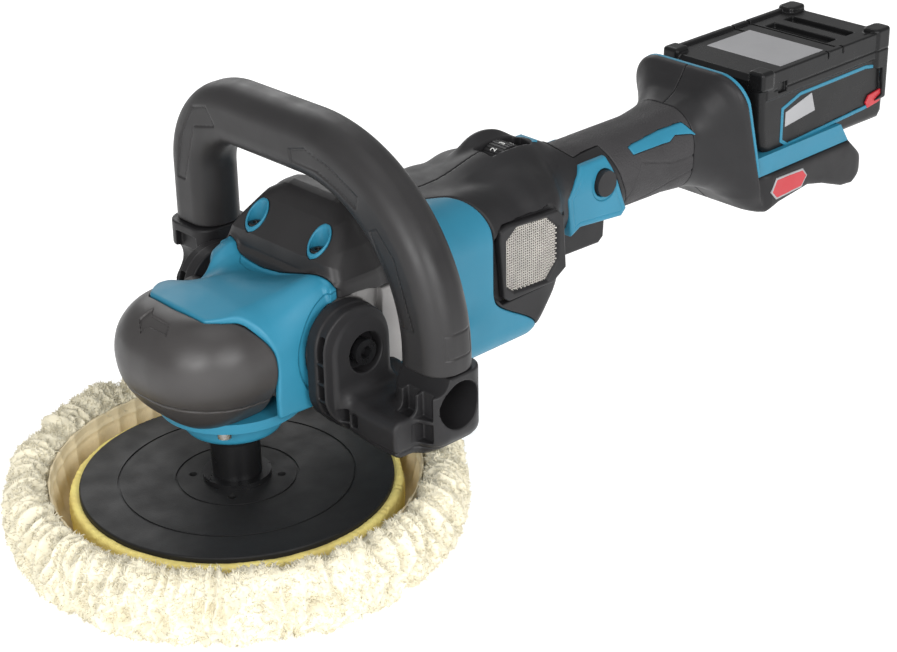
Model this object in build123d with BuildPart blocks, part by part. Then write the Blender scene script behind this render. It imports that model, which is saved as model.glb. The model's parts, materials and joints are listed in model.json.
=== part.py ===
"""Cordless rotary polisher: wool bonnet, loop handle, two-stage gear train and slide-on battery.

Frame: +Z up, +X along the tool towards the battery, -Y the tool's left side.
The origin is on the spindle axis at the wool bonnet's bottom face. Millimetres.
"""
from build123d import *
import os
from math import acos, atan2, cos, degrees, hypot, pi, radians, sin, tan

os.makedirs("parts", exist_ok=True)

# ---------------------------------------------------------------- driving dimensions
# Pad stack on the spindle
BONNET_R = 115.5
BONNET_FACE_R = 104.0
BONNET_TOP = 54.0
BONNET_FLOOR = 12.0
BONNET_INNER_R = 88.0
FOAM_R = 82.5
FOAM_TOP = 31.0
PLATE_R = 78.0
PLATE_TOP = 33.0
PLATE_T = 3.0
RING_GROOVE_R = 58.5
INNER_GROOVE_R = 30.0
HUB_R = 12.4
HUB_FLANGE_R = 17.0
HUB_TOP = 56.0

# Gear train: spindle on Z, countershaft above the rotor, both along X
SPINDLE_R = 7.5
SPINDLE_TOP_R = 5.0
SPINDLE_TOP = 133.5
COUNTER_Z = 123.5
ROTOR_Z = 101.0
BEVEL_TEETH = 33
BEVEL_PINION_TEETH = 11
BEVEL_R = 22.0
BEVEL_PINION_R = BEVEL_R * BEVEL_PINION_TEETH / BEVEL_TEETH
BEVEL_FACE = 7.5
DRIVEN_TEETH = 26
ROTOR_TEETH = 10
MODULE = 2 * (COUNTER_Z - ROTOR_Z) / (DRIVEN_TEETH + ROTOR_TEETH)
PRESSURE = radians(20)
BACKLASH = 0.36
FIT = 0.05

# Head
HEAD_HALF = 42.0
CORE_HALF = 38.0
CORE_R = 36.0
CORE_FLOOR = 80.0
CORE_TOP = 138.0
CORE_END = 76.0
NOSE_X = -55.0
NOSE_HALF = 43.6
NOSE_BACK = 12.0
NOSE_LOW = 66.0
NOSE_HIGH = 142.0
PIVOT_X = 38.0
PIVOT_Z = 107.0
ARCH_R = 25.0
SKIN_GAP = 0.3

# Motor housing and rear handle, as stations along X
BODY_W = 84.0
BODY_LOW = 62.0
BODY_HIGH = 148.0
BODY_CORNER = 24.0
WALL = 3.0
GRIP_W = 46.0
GUARD_X = 356.0
GUARD_TOP = 164.0
GUARD_TIP_X = 337.0
SHELF_END = 462.0
SHELF_LOW = 74.0
SHELF_TOP = 98.0

# Controls
DIAL_X = 186.0
DIAL_Z = 144.0
DIAL_R = 13.0
BUTTON_X = 242.0
BUTTON_Z = 124.4
BUTTON_R = 7.3
TRIGGER_PIVOT_X = 222.0
TRIGGER_PIVOT_Z = 103.0

# Loop handle
LOOP_X = 55.0
LOOP_Z = 196.0
LOOP_BASE_Z = 66.0
LEFT_LEG_Y = -88.0
LEFT_CORNER = 84.0
LEFT_JOINT_Z = 106.0
RIGHT_LEG_Y = 83.0
RIGHT_CORNER = 34.0
RIGHT_JOINT_Z = 131.0
BRACKET_IN = 44.1
BRACKET_OUT = 58.0
BRACKET_FLOOR = 50.0
GRIP_TUBE_X = 28.0
GRIP_TUBE_Y = 33.0
CORE_ROD_R = 9.0
WRENCH_HOLE_R = 12.5

# Battery, sliding out along +X
BATT_X = 366.0
BATT_END = 481.0
BATT_HALF = 36.0
BATT_LOW = 113.0
BATT_HIGH = 158.0
NECK_HALF = 27.0
NECK_LOW = 101.0


# ---------------------------------------------------------------- shared shapes
def flank_half_angle(teeth, module, radius):
    """Half the angle that an involute tooth fills at a radius, after backlash."""
    pitch_r = teeth * module / 2
    base_r = pitch_r * cos(PRESSURE)
    roll = acos(min(1.0, base_r / max(radius, base_r)))
    at_pitch = pi / (2 * teeth) - BACKLASH / (2 * pitch_r)
    return at_pitch + (tan(PRESSURE) - PRESSURE) - (tan(roll) - roll)


def tooth_points(teeth, module, low, high, steps=4):
    """One tooth's outline, centred on +Y: (x, y) from its left root to its right root."""
    pitch_r = teeth * module / 2
    radii = [pitch_r + low + (high - low) * i / steps for i in range(steps + 1)]
    right = [(r * sin(flank_half_angle(teeth, module, r)), r) for r in radii]
    right = [(x, r * cos(flank_half_angle(teeth, module, r))) for x, r in right]
    return [(-x, y) for x, y in right] + right[::-1]


def spur_outline(teeth, module, phase):
    """Closed outline of a spur gear whose first tooth points along +Y, turned by phase."""
    outline = []
    for n in range(teeth):
        turn = phase - 2 * pi * n / teeth
        for x, y in tooth_points(teeth, module, -1.15 * module, 0.92 * module):
            outline.append((x * cos(turn) - y * sin(turn), x * sin(turn) + y * cos(turn)))
    return outline


def bevel_wheel(teeth, pitch_r, mate_r, bore_r, back, phase):
    """Bevel wheel with its apex at the origin and its back along +Z."""
    module = 2 * pitch_r / teeth
    cone = atan2(pitch_r, mate_r)
    reach = hypot(pitch_r, mate_r)
    shrink = (reach - BEVEL_FACE) / reach
    virtual_teeth = teeth / cos(cone)
    depth = 1.15 * module
    tip = 0.85 * module
    with BuildPart() as wheel:
        with BuildSketch(Plane.XZ) as blank:
            outer = (pitch_r - depth * cos(cone), mate_r + depth * sin(cone))
            with BuildLine():
                Polyline(
                    (bore_r, outer[1] * shrink), (outer[0] * shrink, outer[1] * shrink), outer,
                    (outer[0], outer[1] + back), (bore_r, outer[1] + back), close=True)
            make_face()
        revolve(axis=Axis.Z)
        with BuildPart(mode=Mode.PRIVATE) as tooth:
            for scale_to in (1.0, shrink):
                seat = Plane(
                    origin=(pitch_r * scale_to, 0, mate_r * scale_to),
                    x_dir=(0, -1, 0), z_dir=(sin(cone), 0, cos(cone)))
                pitch_v = virtual_teeth * module / 2
                points = tooth_points(virtual_teeth, module, -depth - 0.3, tip, steps=3)
                with BuildSketch(seat):
                    with BuildLine():
                        Polyline(
                            *[(x * scale_to, (y - pitch_v) * scale_to) for x, y in points],
                            close=True)
                    make_face()
            loft(ruled=True)
        with PolarLocations(0, teeth, start_angle=degrees(phase)):
            add(tooth.part)
    return wheel.part


def ring(outer_r, inner_r):
    """Ring sketch in the current plane."""
    Circle(outer_r)
    Circle(inner_r, mode=Mode.SUBTRACT)


def block(low, high, mode=Mode.ADD):
    """Axis-aligned block between two corners."""
    centre = [(a + b) / 2 for a, b in zip(low, high)]
    sizes = [b - a for a, b in zip(low, high)]
    with Locations(tuple(centre)):
        Box(*sizes, mode=mode)


def rod_y(x, z, radius, y_from, y_to, mode=Mode.ADD):
    """Round bar along Y."""
    with Locations(Location((x, (y_from + y_to) / 2, z), (90, 0, 0))):
        Cylinder(radius, abs(y_to - y_from), mode=mode)


def rod_z(x, y, radius, z_from, z_to, mode=Mode.ADD):
    """Round bar along Z."""
    with Locations((x, y, (z_from + z_to) / 2)):
        Cylinder(radius, z_to - z_from, mode=mode)


def rod_x(z, radius, x_from, x_to, mode=Mode.ADD, y=0):
    """Round bar along X."""
    with Locations(Location(((x_from + x_to) / 2, y, z), (0, 90, 0))):
        Cylinder(radius, x_to - x_from, mode=mode)


def side_form(points, half, mode=Mode.ADD):
    """Side outline given in (x, z), extruded to the same depth on both sides of y = 0."""
    with BuildSketch(Plane.XZ) as outline:
        with BuildLine():
            Polyline(*points, close=True)
        make_face()
    extrude(outline.sketch, amount=half, both=True, mode=mode)


def station(x, width, low, high, corner, inset=0.0):
    """Rounded section of the housing at one place along X."""
    with BuildSketch(Plane.YZ.offset(x)) as section:
        with Locations((0, (low + high) / 2)):
            RectangleRounded(width - 2 * inset, high - low - 2 * inset, corner - inset)
    return section.sketch


def station_at(x, stations):
    """The section part-way between two stations."""
    for near, far in zip(stations, stations[1:]):
        if near[0] <= x <= far[0]:
            share = (x - near[0]) / (far[0] - near[0])
            return (x,) + tuple(a + (b - a) * share for a, b in zip(near[1:], far[1:]))


def loft_stations(stations, inset=0.0, mode=Mode.ADD):
    """Straight loft through the stations, drawn in by inset all round."""
    loft([station(*numbers, inset) for numbers in stations], ruled=True, mode=mode)


# ---------------------------------------------------------------- pad stack
with BuildPart() as wool_bonnet:
    with BuildSketch(Plane.XZ):
        with BuildLine():
            Line((0, 0), (BONNET_FACE_R, 0))
            Spline(
                (BONNET_FACE_R, 0), (112.5, 9), (BONNET_R, 28), (112, 45), (104, BONNET_TOP),
                (95, 50), (90, 34), (BONNET_INNER_R, BONNET_FLOOR))
            Line((BONNET_INNER_R, BONNET_FLOOR), (0, BONNET_FLOOR))
            Line((0, BONNET_FLOOR), (0, 0))
        make_face()
    revolve(axis=Axis.Z)
wool_bonnet.part.label = "wool_bonnet"
export_step(wool_bonnet.part, "parts/wool_bonnet.step")

with BuildPart() as foam_pad:
    rod_z(0, 0, FOAM_R, BONNET_FLOOR, FOAM_TOP)
    fillet(foam_pad.edges().filter_by(GeomType.CIRCLE), 2.5)
    rod_z(0, 0, PLATE_R, PLATE_TOP - PLATE_T, FOAM_TOP, mode=Mode.SUBTRACT)
foam_pad.part.label = "foam_pad"
export_step(foam_pad.part, "parts/foam_pad.step")

with BuildPart() as backing_plate:
    rod_z(0, 0, PLATE_R, PLATE_TOP - PLATE_T, PLATE_TOP)
    fillet(backing_plate.edges().filter_by(GeomType.CIRCLE).sort_by(Axis.Z)[-1], 1)
    for groove_r in (RING_GROOVE_R, INNER_GROOVE_R):
        with BuildSketch(Plane.XY.offset(PLATE_TOP)):
            ring(groove_r + 0.6, groove_r - 0.6)
        extrude(amount=-0.6, mode=Mode.SUBTRACT)
    with PolarLocations(22, 4, start_angle=45):
        Hole(2.1)
backing_plate.part.label = "backing_plate"
export_step(backing_plate.part, "parts/backing_plate.step")

with BuildPart() as hub:
    rod_z(0, 0, HUB_FLANGE_R, PLATE_TOP, PLATE_TOP + 3)
    rod_z(0, 0, HUB_R, PLATE_TOP + 3, HUB_TOP)
    chamfer(hub.edges().filter_by(GeomType.CIRCLE).sort_by(Axis.Z)[-1], 1)
    rod_z(0, 0, 7.0, 38, HUB_TOP, mode=Mode.SUBTRACT)
hub.part.label = "hub"
export_step(hub.part, "parts/hub.step")

SPINDLE_COLLAR_R = 11.0
SPINDLE_COLLAR_TOP = 59.0
SPINDLE_STEP_Z = 112.0
THREAD_R = 6.9
with BuildPart() as spindle:
    rod_z(0, 0, THREAD_R, 39, HUB_TOP)
    rod_z(0, 0, SPINDLE_COLLAR_R, HUB_TOP, SPINDLE_COLLAR_TOP)
    rod_z(0, 0, SPINDLE_R, SPINDLE_COLLAR_TOP, SPINDLE_STEP_Z)
    rod_z(0, 0, SPINDLE_TOP_R, SPINDLE_STEP_Z, SPINDLE_TOP)
    chamfer(spindle.edges().filter_by(GeomType.CIRCLE).sort_by(Axis.Z)[0], 0.8)
spindle.part.label = "spindle"
export_step(spindle.part, "parts/spindle.step")

# Ring on the spindle, with notches that the shaft lock's pin drops into
LOCK_Z = 88.0
LOCK_RING_R = 15.0
LOCK_RING_T = 10.0
NOTCHES = 12
with BuildPart() as lock_ring:
    rod_z(0, 0, LOCK_RING_R, LOCK_Z - LOCK_RING_T / 2, LOCK_Z + LOCK_RING_T / 2)
    rod_z(0, 0, SPINDLE_R, 80, 96, mode=Mode.SUBTRACT)
    with BuildSketch(Plane.XY.offset(LOCK_Z - LOCK_RING_T / 2)):
        with PolarLocations(LOCK_RING_R, NOTCHES):
            Rectangle(9, 5.4)
    extrude(amount=LOCK_RING_T, mode=Mode.SUBTRACT)
lock_ring.part.label = "lock_ring"
export_step(lock_ring.part, "parts/lock_ring.step")

with BuildPart(Plane(origin=(0, 0, COUNTER_Z), x_dir=(1, 0, 0), z_dir=(0, 0, -1))) as bevel_gear:
    add(bevel_wheel(BEVEL_TEETH, BEVEL_R, BEVEL_PINION_R, SPINDLE_R, 4.0, pi / BEVEL_TEETH))
    rod_z(0, 0, 7.5, 9, 15, mode=Mode.SUBTRACT)
bevel_gear.part.label = "bevel_gear"
export_step(bevel_gear.part, "parts/bevel_gear.step")

# ---------------------------------------------------------------- countershaft
COUNTER_SHAFT_R = 5.0
with BuildPart() as countershaft:
    rod_x(COUNTER_Z, COUNTER_SHAFT_R - 1.8, 14.5, 27)
    rod_x(COUNTER_Z, COUNTER_SHAFT_R, 27, 83)
    rod_x(COUNTER_Z, COUNTER_SHAFT_R + 2, 44.5, 55)
countershaft.part.label = "countershaft"
export_step(countershaft.part, "parts/countershaft.step")

with BuildPart(Plane(origin=(0, 0, COUNTER_Z), x_dir=(0, 0, -1), z_dir=(1, 0, 0))) as bevel_pinion:
    add(bevel_wheel(BEVEL_PINION_TEETH, BEVEL_PINION_R, BEVEL_R, COUNTER_SHAFT_R - 1.8, 4.0, 0.0))
bevel_pinion.part.label = "bevel_pinion"
export_step(bevel_pinion.part, "parts/bevel_pinion.step")

with BuildPart() as driven_gear:
    with BuildSketch(Plane(origin=(56, 0, COUNTER_Z), x_dir=(0, 1, 0), z_dir=(1, 0, 0))):
        with BuildLine():
            Polyline(*spur_outline(DRIVEN_TEETH, MODULE, pi / DRIVEN_TEETH), close=True)
        make_face()
        Circle(COUNTER_SHAFT_R, mode=Mode.SUBTRACT)
    extrude(amount=12)
driven_gear.part.label = "driven_gear"
export_step(driven_gear.part, "parts/driven_gear.step")

# ---------------------------------------------------------------- rotor
with BuildPart() as rotor_shaft:
    with BuildSketch(Plane(origin=(55, 0, ROTOR_Z), x_dir=(0, 1, 0), z_dir=(1, 0, 0))):
        with BuildLine():
            Polyline(*spur_outline(ROTOR_TEETH, MODULE, 0.0), close=True)
        make_face()
    extrude(amount=14)
    rod_x(ROTOR_Z, 5, 69, 100)
    rod_x(ROTOR_Z, 4, 100, 160)
rotor_shaft.part.label = "rotor_shaft"
export_step(rotor_shaft.part, "parts/rotor_shaft.step")

with BuildPart() as rotor_core:
    rod_x(ROTOR_Z, 14, 107, 139)
    rod_x(ROTOR_Z, 4, 107, 139, mode=Mode.SUBTRACT)
rotor_core.part.label = "rotor_core"
export_step(rotor_core.part, "parts/rotor_core.step")

FAN_BLADES = 13
with BuildPart() as fan:
    rod_x(ROTOR_Z, 30, 89, 91)
    rod_x(ROTOR_Z, 9, 91, 98)
    with BuildSketch(Plane.YZ.offset(91)):
        with Locations((0, ROTOR_Z)):
            with PolarLocations(21, FAN_BLADES):
                Rectangle(17, 1.8, rotation=24)
    extrude(amount=8)
    rod_x(ROTOR_Z, 5, 89, 100, mode=Mode.SUBTRACT)
fan.part.label = "fan"
export_step(fan.part, "parts/fan.step")

with BuildPart() as stator:
    with BuildSketch(Plane.YZ.offset(106)):
        with Locations((0, ROTOR_Z)):
            ring(31, 26)
            with PolarLocations(21.5, 6):
                Rectangle(11, 8)
            with PolarLocations(16.5, 6):
                Rectangle(3, 13)
            Circle(14.6, mode=Mode.SUBTRACT)
    extrude(amount=34)
stator.part.label = "stator"
export_step(stator.part, "parts/stator.step")

# ---------------------------------------------------------------- bearings
SPINDLE_BEARING_R = 17.5
SPINDLE_BEARING_Z = (64.5, 75.5)
TOP_BEARING_R = 8.0
TOP_BEARING_Z = (125.5, 132.5)
COUNTER_BEARING_R = 13.0
COUNTER_BEARING_X = (33.5, 42.5)
COUNTER_REAR_R = 9.0
COUNTER_REAR_X = (76.5, 83.5)
ROTOR_BEARING_R = 12.0
ROTOR_BEARING_X = (76.5, 84.5)
ROTOR_SHAFT_R = 5.0
ROTOR_TAIL_R = 4.0
ROTOR_REAR_R = 11.0
ROTOR_REAR_X = (150.0, 157.0)

with BuildPart() as spindle_bearing:
    rod_z(0, 0, SPINDLE_BEARING_R, *SPINDLE_BEARING_Z)
    rod_z(0, 0, SPINDLE_R + FIT, *SPINDLE_BEARING_Z, mode=Mode.SUBTRACT)
    chamfer(spindle_bearing.edges().filter_by(GeomType.CIRCLE), 0.6)
spindle_bearing.part.label = "spindle_bearing"
export_step(spindle_bearing.part, "parts/spindle_bearing.step")

with BuildPart() as spindle_top_bearing:
    rod_z(0, 0, TOP_BEARING_R, *TOP_BEARING_Z)
    rod_z(0, 0, SPINDLE_TOP_R + FIT, *TOP_BEARING_Z, mode=Mode.SUBTRACT)
spindle_top_bearing.part.label = "spindle_top_bearing"
export_step(spindle_top_bearing.part, "parts/spindle_top_bearing.step")

with BuildPart() as countershaft_bearing:
    rod_x(COUNTER_Z, COUNTER_BEARING_R, *COUNTER_BEARING_X)
    rod_x(COUNTER_Z, COUNTER_SHAFT_R + FIT, *COUNTER_BEARING_X, mode=Mode.SUBTRACT)
countershaft_bearing.part.label = "countershaft_bearing"
export_step(countershaft_bearing.part, "parts/countershaft_bearing.step")

with BuildPart() as countershaft_rear_bearing:
    rod_x(COUNTER_Z, COUNTER_REAR_R, *COUNTER_REAR_X)
    rod_x(COUNTER_Z, COUNTER_SHAFT_R + FIT, *COUNTER_REAR_X, mode=Mode.SUBTRACT)
countershaft_rear_bearing.part.label = "countershaft_rear_bearing"
export_step(countershaft_rear_bearing.part, "parts/countershaft_rear_bearing.step")

with BuildPart() as rotor_front_bearing:
    rod_x(ROTOR_Z, ROTOR_BEARING_R, *ROTOR_BEARING_X)
    rod_x(ROTOR_Z, ROTOR_SHAFT_R + FIT, *ROTOR_BEARING_X, mode=Mode.SUBTRACT)
rotor_front_bearing.part.label = "rotor_front_bearing"
export_step(rotor_front_bearing.part, "parts/rotor_front_bearing.step")

with BuildPart() as rotor_rear_bearing:
    rod_x(ROTOR_Z, ROTOR_REAR_R, *ROTOR_REAR_X)
    rod_x(ROTOR_Z, ROTOR_TAIL_R + FIT, *ROTOR_REAR_X, mode=Mode.SUBTRACT)
rotor_rear_bearing.part.label = "rotor_rear_bearing"
export_step(rotor_rear_bearing.part, "parts/rotor_rear_bearing.step")

# ---------------------------------------------------------------- gear housing and its covers
BOX_SCREW_R = 32.5
BOX_SCREW_ANGLE = 45
LOCK_BORE_R = 4.2


with BuildPart() as gear_housing:
    rod_z(0, 0, CORE_R, CORE_FLOOR, CORE_TOP)
    block((0, -CORE_HALF, 84), (66, CORE_HALF, CORE_TOP))
    block((37, -30, 130), (CORE_END, 30, 150))
    for side in (-1, 1):
        rod_y(PIVOT_X, PIVOT_Z, 13, side * 30, side * 43)
    block((62, -41.5, 66), (CORE_END, 41.5, 128))
    block((62, -34, 128), (CORE_END, 34, 146))
    # front cavity round the spindle and its bevel gear, open at the bottom
    rod_z(0, 0, 29, CORE_FLOOR, 133.5, mode=Mode.SUBTRACT)
    # rear cavity round the first gear stage, open at the back
    block((43.5, -22, 88), (CORE_END, 22, 146), mode=Mode.SUBTRACT)
    block((10, -13, 108), (33.5, 13, 134), mode=Mode.SUBTRACT)
    rod_x(COUNTER_Z, COUNTER_BEARING_R, 33.5, 43.5, mode=Mode.SUBTRACT)
    rod_x(COUNTER_Z, 9, 28, 34, mode=Mode.SUBTRACT)
    # roof boss for the top bearing
    rod_z(0, 0, 10.5, 125.5, 134)
    rod_z(0, 0, TOP_BEARING_R, *TOP_BEARING_Z, mode=Mode.SUBTRACT)
    rod_z(0, 0, SPINDLE_TOP_R + 1, 132, 134, mode=Mode.SUBTRACT)
    # threaded holes: loop handle bolts, bearing box screws, shaft lock bore
    for side in (-1, 1):
        rod_y(PIVOT_X, PIVOT_Z, 4, side * 23, side * 43, mode=Mode.SUBTRACT)
    with PolarLocations(BOX_SCREW_R, 4, start_angle=BOX_SCREW_ANGLE):
        with Locations((0, 0, CORE_FLOOR + 5)):
            Cylinder(2, 10, mode=Mode.SUBTRACT)
    rod_y(0, LOCK_Z, LOCK_BORE_R, 20, 46, mode=Mode.SUBTRACT)
gear_housing.part.label = "gear_housing"
export_step(gear_housing.part, "parts/gear_housing.step")

with BuildPart() as bearing_box:
    rod_z(0, 0, 24.5, 62, CORE_FLOOR)
    fillet(bearing_box.edges().filter_by(GeomType.CIRCLE).sort_by(Axis.Z)[0], 3)
    rod_z(0, 0, CORE_R, 75, CORE_FLOOR)
    rod_z(0, 0, SPINDLE_BEARING_R + FIT, SPINDLE_BEARING_Z[0], 78, mode=Mode.SUBTRACT)
    rod_z(0, 0, 13, 60, CORE_FLOOR, mode=Mode.SUBTRACT)
    with PolarLocations(BOX_SCREW_R, 4, start_angle=BOX_SCREW_ANGLE):
        with Locations((0, 0, CORE_FLOOR - 3)):
            Cylinder(2, 8, mode=Mode.SUBTRACT)
bearing_box.part.label = "bearing_box"
export_step(bearing_box.part, "parts/bearing_box.step")

with BuildPart() as bearing_box_screws:
    with PolarLocations(BOX_SCREW_R, 4, start_angle=BOX_SCREW_ANGLE):
        with Locations((0, 0, 73.5)):
            Cylinder(3.4, 3)
        with Locations((0, 0, 81.5)):
            Cylinder(2, 13)
bearing_box_screws.part.label = "bearing_box_screws"
export_step(bearing_box_screws.part, "parts/bearing_box_screws.step")

# Blue cover: a bonnet over the gear housing's front, with an arch round each handle bracket
COVER_TOP = 142.0
COVER_R = 41.0
COVER_BACK = 36.0
with BuildPart() as head_cover:
    rod_z(0, 0, COVER_R, 81, COVER_TOP)
    block((0, -HEAD_HALF, 81), (COVER_BACK, HEAD_HALF, COVER_TOP))
    fillet(head_cover.edges().group_by(Axis.Z)[-1], 4)
    rod_z(0, 0, CORE_R + SKIN_GAP, 70, CORE_TOP + SKIN_GAP, mode=Mode.SUBTRACT)
    block((0, -CORE_HALF - SKIN_GAP, 70), (80, CORE_HALF + SKIN_GAP, CORE_TOP + SKIN_GAP),
          mode=Mode.SUBTRACT)
    block((COVER_BACK - 3, -50, 130), (80, 50, 160), mode=Mode.SUBTRACT)
    block((COVER_BACK, -50, 60), (80, 50, 160), mode=Mode.SUBTRACT)
    for side in (-1, 1):
        rod_y(PIVOT_X, PIVOT_Z, ARCH_R, side * 30, side * 50, mode=Mode.SUBTRACT)
    rod_y(0, LOCK_Z, LOCK_BORE_R + 3, 20, 50, mode=Mode.SUBTRACT)
head_cover.part.label = "head_cover"
export_step(head_cover.part, "parts/head_cover.step")

# Rubber bumper round the nose, over the cover
with BuildPart() as nose_bumper:
    with BuildSketch(Plane.XY.offset(NOSE_LOW)):
        with BuildLine():
            Line((NOSE_BACK, -NOSE_HALF), (-22, -NOSE_HALF))
            Spline((-22, -NOSE_HALF), (-42, -33), (NOSE_X, 0), (-42, 33), (-22, NOSE_HALF),
                   tangents=((-1, 0), (1, 0)))
            Line((-22, NOSE_HALF), (NOSE_BACK, NOSE_HALF))
            Line((NOSE_BACK, NOSE_HALF), (NOSE_BACK, -NOSE_HALF))
        make_face()
    extrude(amount=NOSE_HIGH - NOSE_LOW)
    rim = nose_bumper.edges().group_by(Axis.Z)
    fillet([e for e in rim[0] + rim[-1] if e.center().X < NOSE_BACK - 1], 12)
    rod_z(0, 0, COVER_R + SKIN_GAP, 81, 150, mode=Mode.SUBTRACT)
    block((0, -HEAD_HALF - SKIN_GAP, 81), (20, HEAD_HALF + SKIN_GAP, 150), mode=Mode.SUBTRACT)
    rod_z(0, 0, CORE_R + SKIN_GAP, 71.5, 81.5, mode=Mode.SUBTRACT)
    rod_z(0, 0, 26.5, 60, 75, mode=Mode.SUBTRACT)
    rod_y(0, LOCK_Z, LOCK_BORE_R + 3, 20, 50, mode=Mode.SUBTRACT)
nose_bumper.part.label = "nose_bumper"
export_step(nose_bumper.part, "parts/nose_bumper.step")

# Black collar: a dome over the first gear stage, in front of the motor housing
COLLAR_SIDE = [(15, 147), (32, 167), (44, 174.5), (58, 174.5), (70, 163), (CORE_END, 149),
               (CORE_END, 129), (40, 129), (30, 135), (15, 143)]
RECESS_X = 30.0
RECESS_Y = 25.0
with BuildPart() as collar:
    side_form(COLLAR_SIDE, HEAD_HALF)
    with BuildSketch(Plane.YZ.offset(10)) as dome_front:
        with BuildLine():
            Polyline((-HEAD_HALF, 120), (-HEAD_HALF, 148), (-35, 162), (-22, 178), (22, 178), (35, 162),
                     (HEAD_HALF, 148), (HEAD_HALF, 120), close=True)
        make_face()
    extrude(amount=70, mode=Mode.INTERSECT)
    rod_z(0, 0, COVER_R + SKIN_GAP, 70, COVER_TOP + SKIN_GAP, mode=Mode.SUBTRACT)
    block((0, -HEAD_HALF - SKIN_GAP, 70),
          (COVER_BACK + SKIN_GAP, HEAD_HALF + SKIN_GAP, COVER_TOP + SKIN_GAP), mode=Mode.SUBTRACT)
    block((COVER_BACK, -CORE_HALF - SKIN_GAP, 100), (66.5, CORE_HALF + SKIN_GAP, CORE_TOP + SKIN_GAP),
          mode=Mode.SUBTRACT)
    block((60, -34 - SKIN_GAP, 120), (80, 34 + SKIN_GAP, 146 + SKIN_GAP), mode=Mode.SUBTRACT)
    block((30, -32, 120), (72, 32, 152), mode=Mode.SUBTRACT)
    block((70, -30 - SKIN_GAP, 140), (80, 30 + SKIN_GAP, 150 + SKIN_GAP), mode=Mode.SUBTRACT)
    for side in (-1, 1):
        rod_y(PIVOT_X, PIVOT_Z, ARCH_R, side * 30, side * 50, mode=Mode.SUBTRACT)
        rod_z(RECESS_X, side * RECESS_Y, 5.5, 146, 180, mode=Mode.SUBTRACT)
        rod_z(RECESS_X, side * RECESS_Y, 2, 140, 150, mode=Mode.SUBTRACT)
collar.part.label = "collar"
export_step(collar.part, "parts/collar.step")

with BuildPart() as screw_sleeves:
    for side in (-1, 1):
        rod_z(RECESS_X, side * RECESS_Y, 5.5, 146, 164)
        rod_z(RECESS_X, side * RECESS_Y, 4.2, 148, 165, mode=Mode.SUBTRACT)
        rod_z(RECESS_X, side * RECESS_Y, 2.2, 145, 150, mode=Mode.SUBTRACT)
screw_sleeves.part.label = "screw_sleeves"
export_step(screw_sleeves.part, "parts/screw_sleeves.step")

with BuildPart() as collar_screws:
    for side in (-1, 1):
        rod_z(RECESS_X, side * RECESS_Y, 3.8, 148, 151)
        rod_z(RECESS_X, side * RECESS_Y, 2.0, CORE_TOP + 4.5, 148)
collar_screws.part.label = "collar_screws"
export_step(collar_screws.part, "parts/collar_screws.step")

# ---------------------------------------------------------------- motor housing
BODY_MID = (BODY_LOW + BODY_HIGH) / 2
BODY_SIDE_X = 139.0
BODY_TOP_X = 113.0
BODY_TOE_X = 170.0
# Seam between the blue motor housing and the black rear housing, in (x, z), top to bottom
SEAM = [(BODY_TOP_X, 160), (BODY_TOP_X, 146), (131, 143), (136, 140), (BODY_SIDE_X, 134),
        (BODY_SIDE_X, 95), (BODY_TOE_X, 73), (BODY_TOE_X, 55)]


def seam_face(front, gap):
    """Side outline of everything in front of the seam, or behind it, less a gap."""
    limit = 60 if front else 400
    shift = -gap if front else gap
    return [(x + shift, z) for x, z in SEAM] + [(limit, 55), (limit, 160)]


BODY_STATIONS = [
    (CORE_END, BODY_W - 1, BODY_LOW + 3, BODY_HIGH - 3, BODY_CORNER),
    (100, BODY_W, BODY_LOW, BODY_HIGH, BODY_CORNER),
    (BODY_TOE_X, BODY_W, BODY_LOW, BODY_HIGH + 3, BODY_CORNER),
]
with BuildPart() as motor_housing:
    loft_stations(BODY_STATIONS)
    loft_stations([(86,) + BODY_STATIONS[1][1:], (BODY_TOE_X + 1,) + BODY_STATIONS[2][1:]],
                  inset=WALL, mode=Mode.SUBTRACT)
    # ring and two ribs that hold the stator
    with BuildPart(mode=Mode.PRIVATE) as stator_seat:
        with BuildSketch(Plane.YZ.offset(106)):
            with Locations((0, ROTOR_Z)):
                ring(34, 31)
        extrude(amount=30)
        for side in (-1, 1):
            block((106, min(side * 33.5, side * 40.5), 96), (136, max(side * 33.5, side * 40.5), 100))
    add(stator_seat.part)
    # bearing seats in the front wall
    rod_x(ROTOR_Z, ROTOR_BEARING_R, *ROTOR_BEARING_X, mode=Mode.SUBTRACT)
    rod_x(ROTOR_Z, 7, 70, 90, mode=Mode.SUBTRACT)
    rod_x(COUNTER_Z, COUNTER_REAR_R, *COUNTER_REAR_X, mode=Mode.SUBTRACT)
    rod_x(COUNTER_Z, 7, 70, 83.5, mode=Mode.SUBTRACT)
    side_form(seam_face(front=False, gap=0), 60, mode=Mode.SUBTRACT)
motor_housing.part.label = "motor_housing"
export_step(motor_housing.part, "parts/motor_housing.step")

# ---------------------------------------------------------------- rear housing halves
HANDLE_STATIONS = [
    (BODY_TOP_X, BODY_W, BODY_LOW, BODY_HIGH + 1, BODY_CORNER),
    (BODY_TOE_X, BODY_W, BODY_LOW, BODY_HIGH + 3, BODY_CORNER),
    (196, 66, 82, 153, 24),
    (216, GRIP_W, 95, 145, 22),
    (294, GRIP_W, 95, 143, 22),
    (320, 54, 90, 150, 22),
    (338, 78, 81, 162, 22),
    (GUARD_X, 84, SHELF_LOW + 1, GUARD_TOP, 22),
]
SLEEVE_FRONT = 262.0
SLEEVE_BACK = 314.0
SLEEVE_T = 2.0
PLATE_OUTLINE = [(213, 123), (227, 137.5), (247, 137.5), (260, 104.4), (256, 100.7), (223, 104),
                 (215.6, 100.4)]
PLATE_IN = 20.5
PLATE_OUT = 23.6
MESH_OUTLINE = [(147, 101), (147, 124), (153, 130), (178, 130), (184, 124), (184, 105), (179, 97),
                (152, 97)]
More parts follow.
